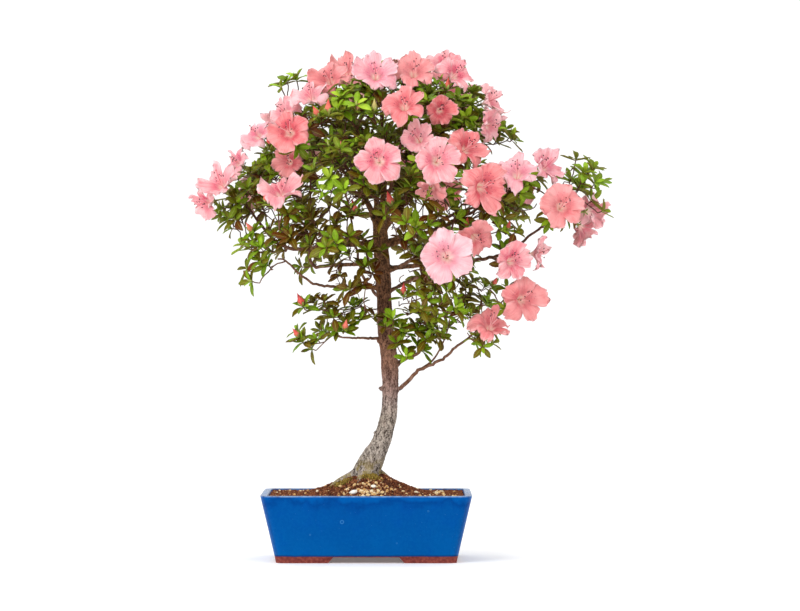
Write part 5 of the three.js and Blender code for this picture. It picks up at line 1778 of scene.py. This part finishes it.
# %% Grain and gravel finishes
GRAIN_SHADES = [
    (0.0, 66, 32, 20), (0.18, 108, 58, 36), (0.38, 148, 92, 60), (0.56, 186, 136, 90),
    (0.72, 212, 178, 130), (0.88, 234, 214, 176), (1.0, 246, 238, 218),
]
grain = Finish("baked_clay_grains", 0.92, 0.15)
mottle = grain.attribute("tint") + (grain.uneven(520, 1, 3) - 0.5) * 0.5
grain.give({"Base Color": grain.ramp(mottle, GRAIN_SHADES)})
grain.bump(grain.uneven(1300, 1, 4), 0.6, 0.0006)
STONE_SHADES = [
    (0.0, 70, 52, 40), (0.3, 150, 100, 60), (0.55, 206, 160, 96), (0.75, 232, 206, 156),
    (0.92, 244, 236, 216), (1.0, 252, 250, 244),
]
stone = Finish("pale_gravel", 0.75, 0.3)
mottle = stone.attribute("tint") + (stone.uneven(330, 1, 4) - 0.5) * 0.4
stone.give({"Base Color": stone.ramp(mottle, STONE_SHADES)})
stone.bump(stone.uneven(1000, 1, 4), 0.5, 0.0005)
grain_piece = grains.piece("soil_grains", [grain], "potting_soil")
pebble_piece = pebbles.piece("pale_pebbles", [stone], "potting_soil")
print("grain triangles:", triangles(grain_piece), "pebble triangles:", triangles(pebble_piece))

# %% Moss
# patches: x, y, spread, tips
MOSS_PATCHES = [
    (4, -18.5, 4, 300), (9, -21, 3.5, 140), (-26, -21, 4, 120), (-33, -24, 4, 90), (14, 20, 6, 140),
]
moss = Pile()
draw = draws(MOSS_SEED)
for x0, y0, spread, count in MOSS_PATCHES:
    for _ in range(count):
        x, y = draw.normal(x0, spread), draw.normal(y0, spread * 0.6)
        at = np.array([x, y, soil_height(x, y) + 0.6])
        way = unit([draw.normal(0, 0.45), draw.normal(-0.15, 0.45), 1])
        tall = draw.uniform(1.4, 3.4)
        tip = at + way * np.array([[-0.8], [tall * 0.6], [tall]])
        radii = np.array([0.55, 0.5, 0.1]) * draw.uniform(0.8, 1.5)
        moss.add(*stem(tip, radii, 4), tint=draw.uniform(0, 1))
MOSS_SHADES = [(0.1, 90, 68, 30), (0.4, 124, 102, 42), (0.7, 156, 132, 58), (1.0, 188, 164, 92)]
olive = Finish("olive_moss", 0.9, 0.15)
mottle = olive.attribute("tint") * 0.7 + olive.uneven(420, 1, 3) * 0.4
olive.give({"Base Color": olive.ramp(mottle, MOSS_SHADES)})
olive.bump(olive.uneven(1500, 1, 2), 0.4, 0.0004)
moss_piece = moss.piece("moss_tips", [olive], "potting_soil")
print("moss triangles:", triangles(moss_piece))

# %% [markdown]
# ## The drain nets
# Two squares of black plastic net lie over the drain holes, under the soil. The CAD model's
# own solids have the right shape, so they only get a finish.

# %% Net finish
plastic = Finish("black_plastic_net", 0.5, 0.4)
NET_SHADES = [(0.3, 22, 22, 24), (0.7, 44, 44, 46)]
plastic.give({"Base Color": plastic.ramp(plastic.uneven(300, 1, 3), NET_SHADES)})
plastic.bump(plastic.uneven(1200, 1, 2), 0.3, 0.0003)
for name in ("drain_mesh_left", "drain_mesh_right"):
    for slot in frame["nodes"][name].material_slots:
        slot.material = plastic.material
print("nets finished")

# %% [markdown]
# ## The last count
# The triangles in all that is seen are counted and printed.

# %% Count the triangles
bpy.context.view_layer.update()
seen = [o for o in bpy.data.objects if o.type == "MESH" and not o.hide_render]
print("all triangles:", sum(map(triangles, seen)))
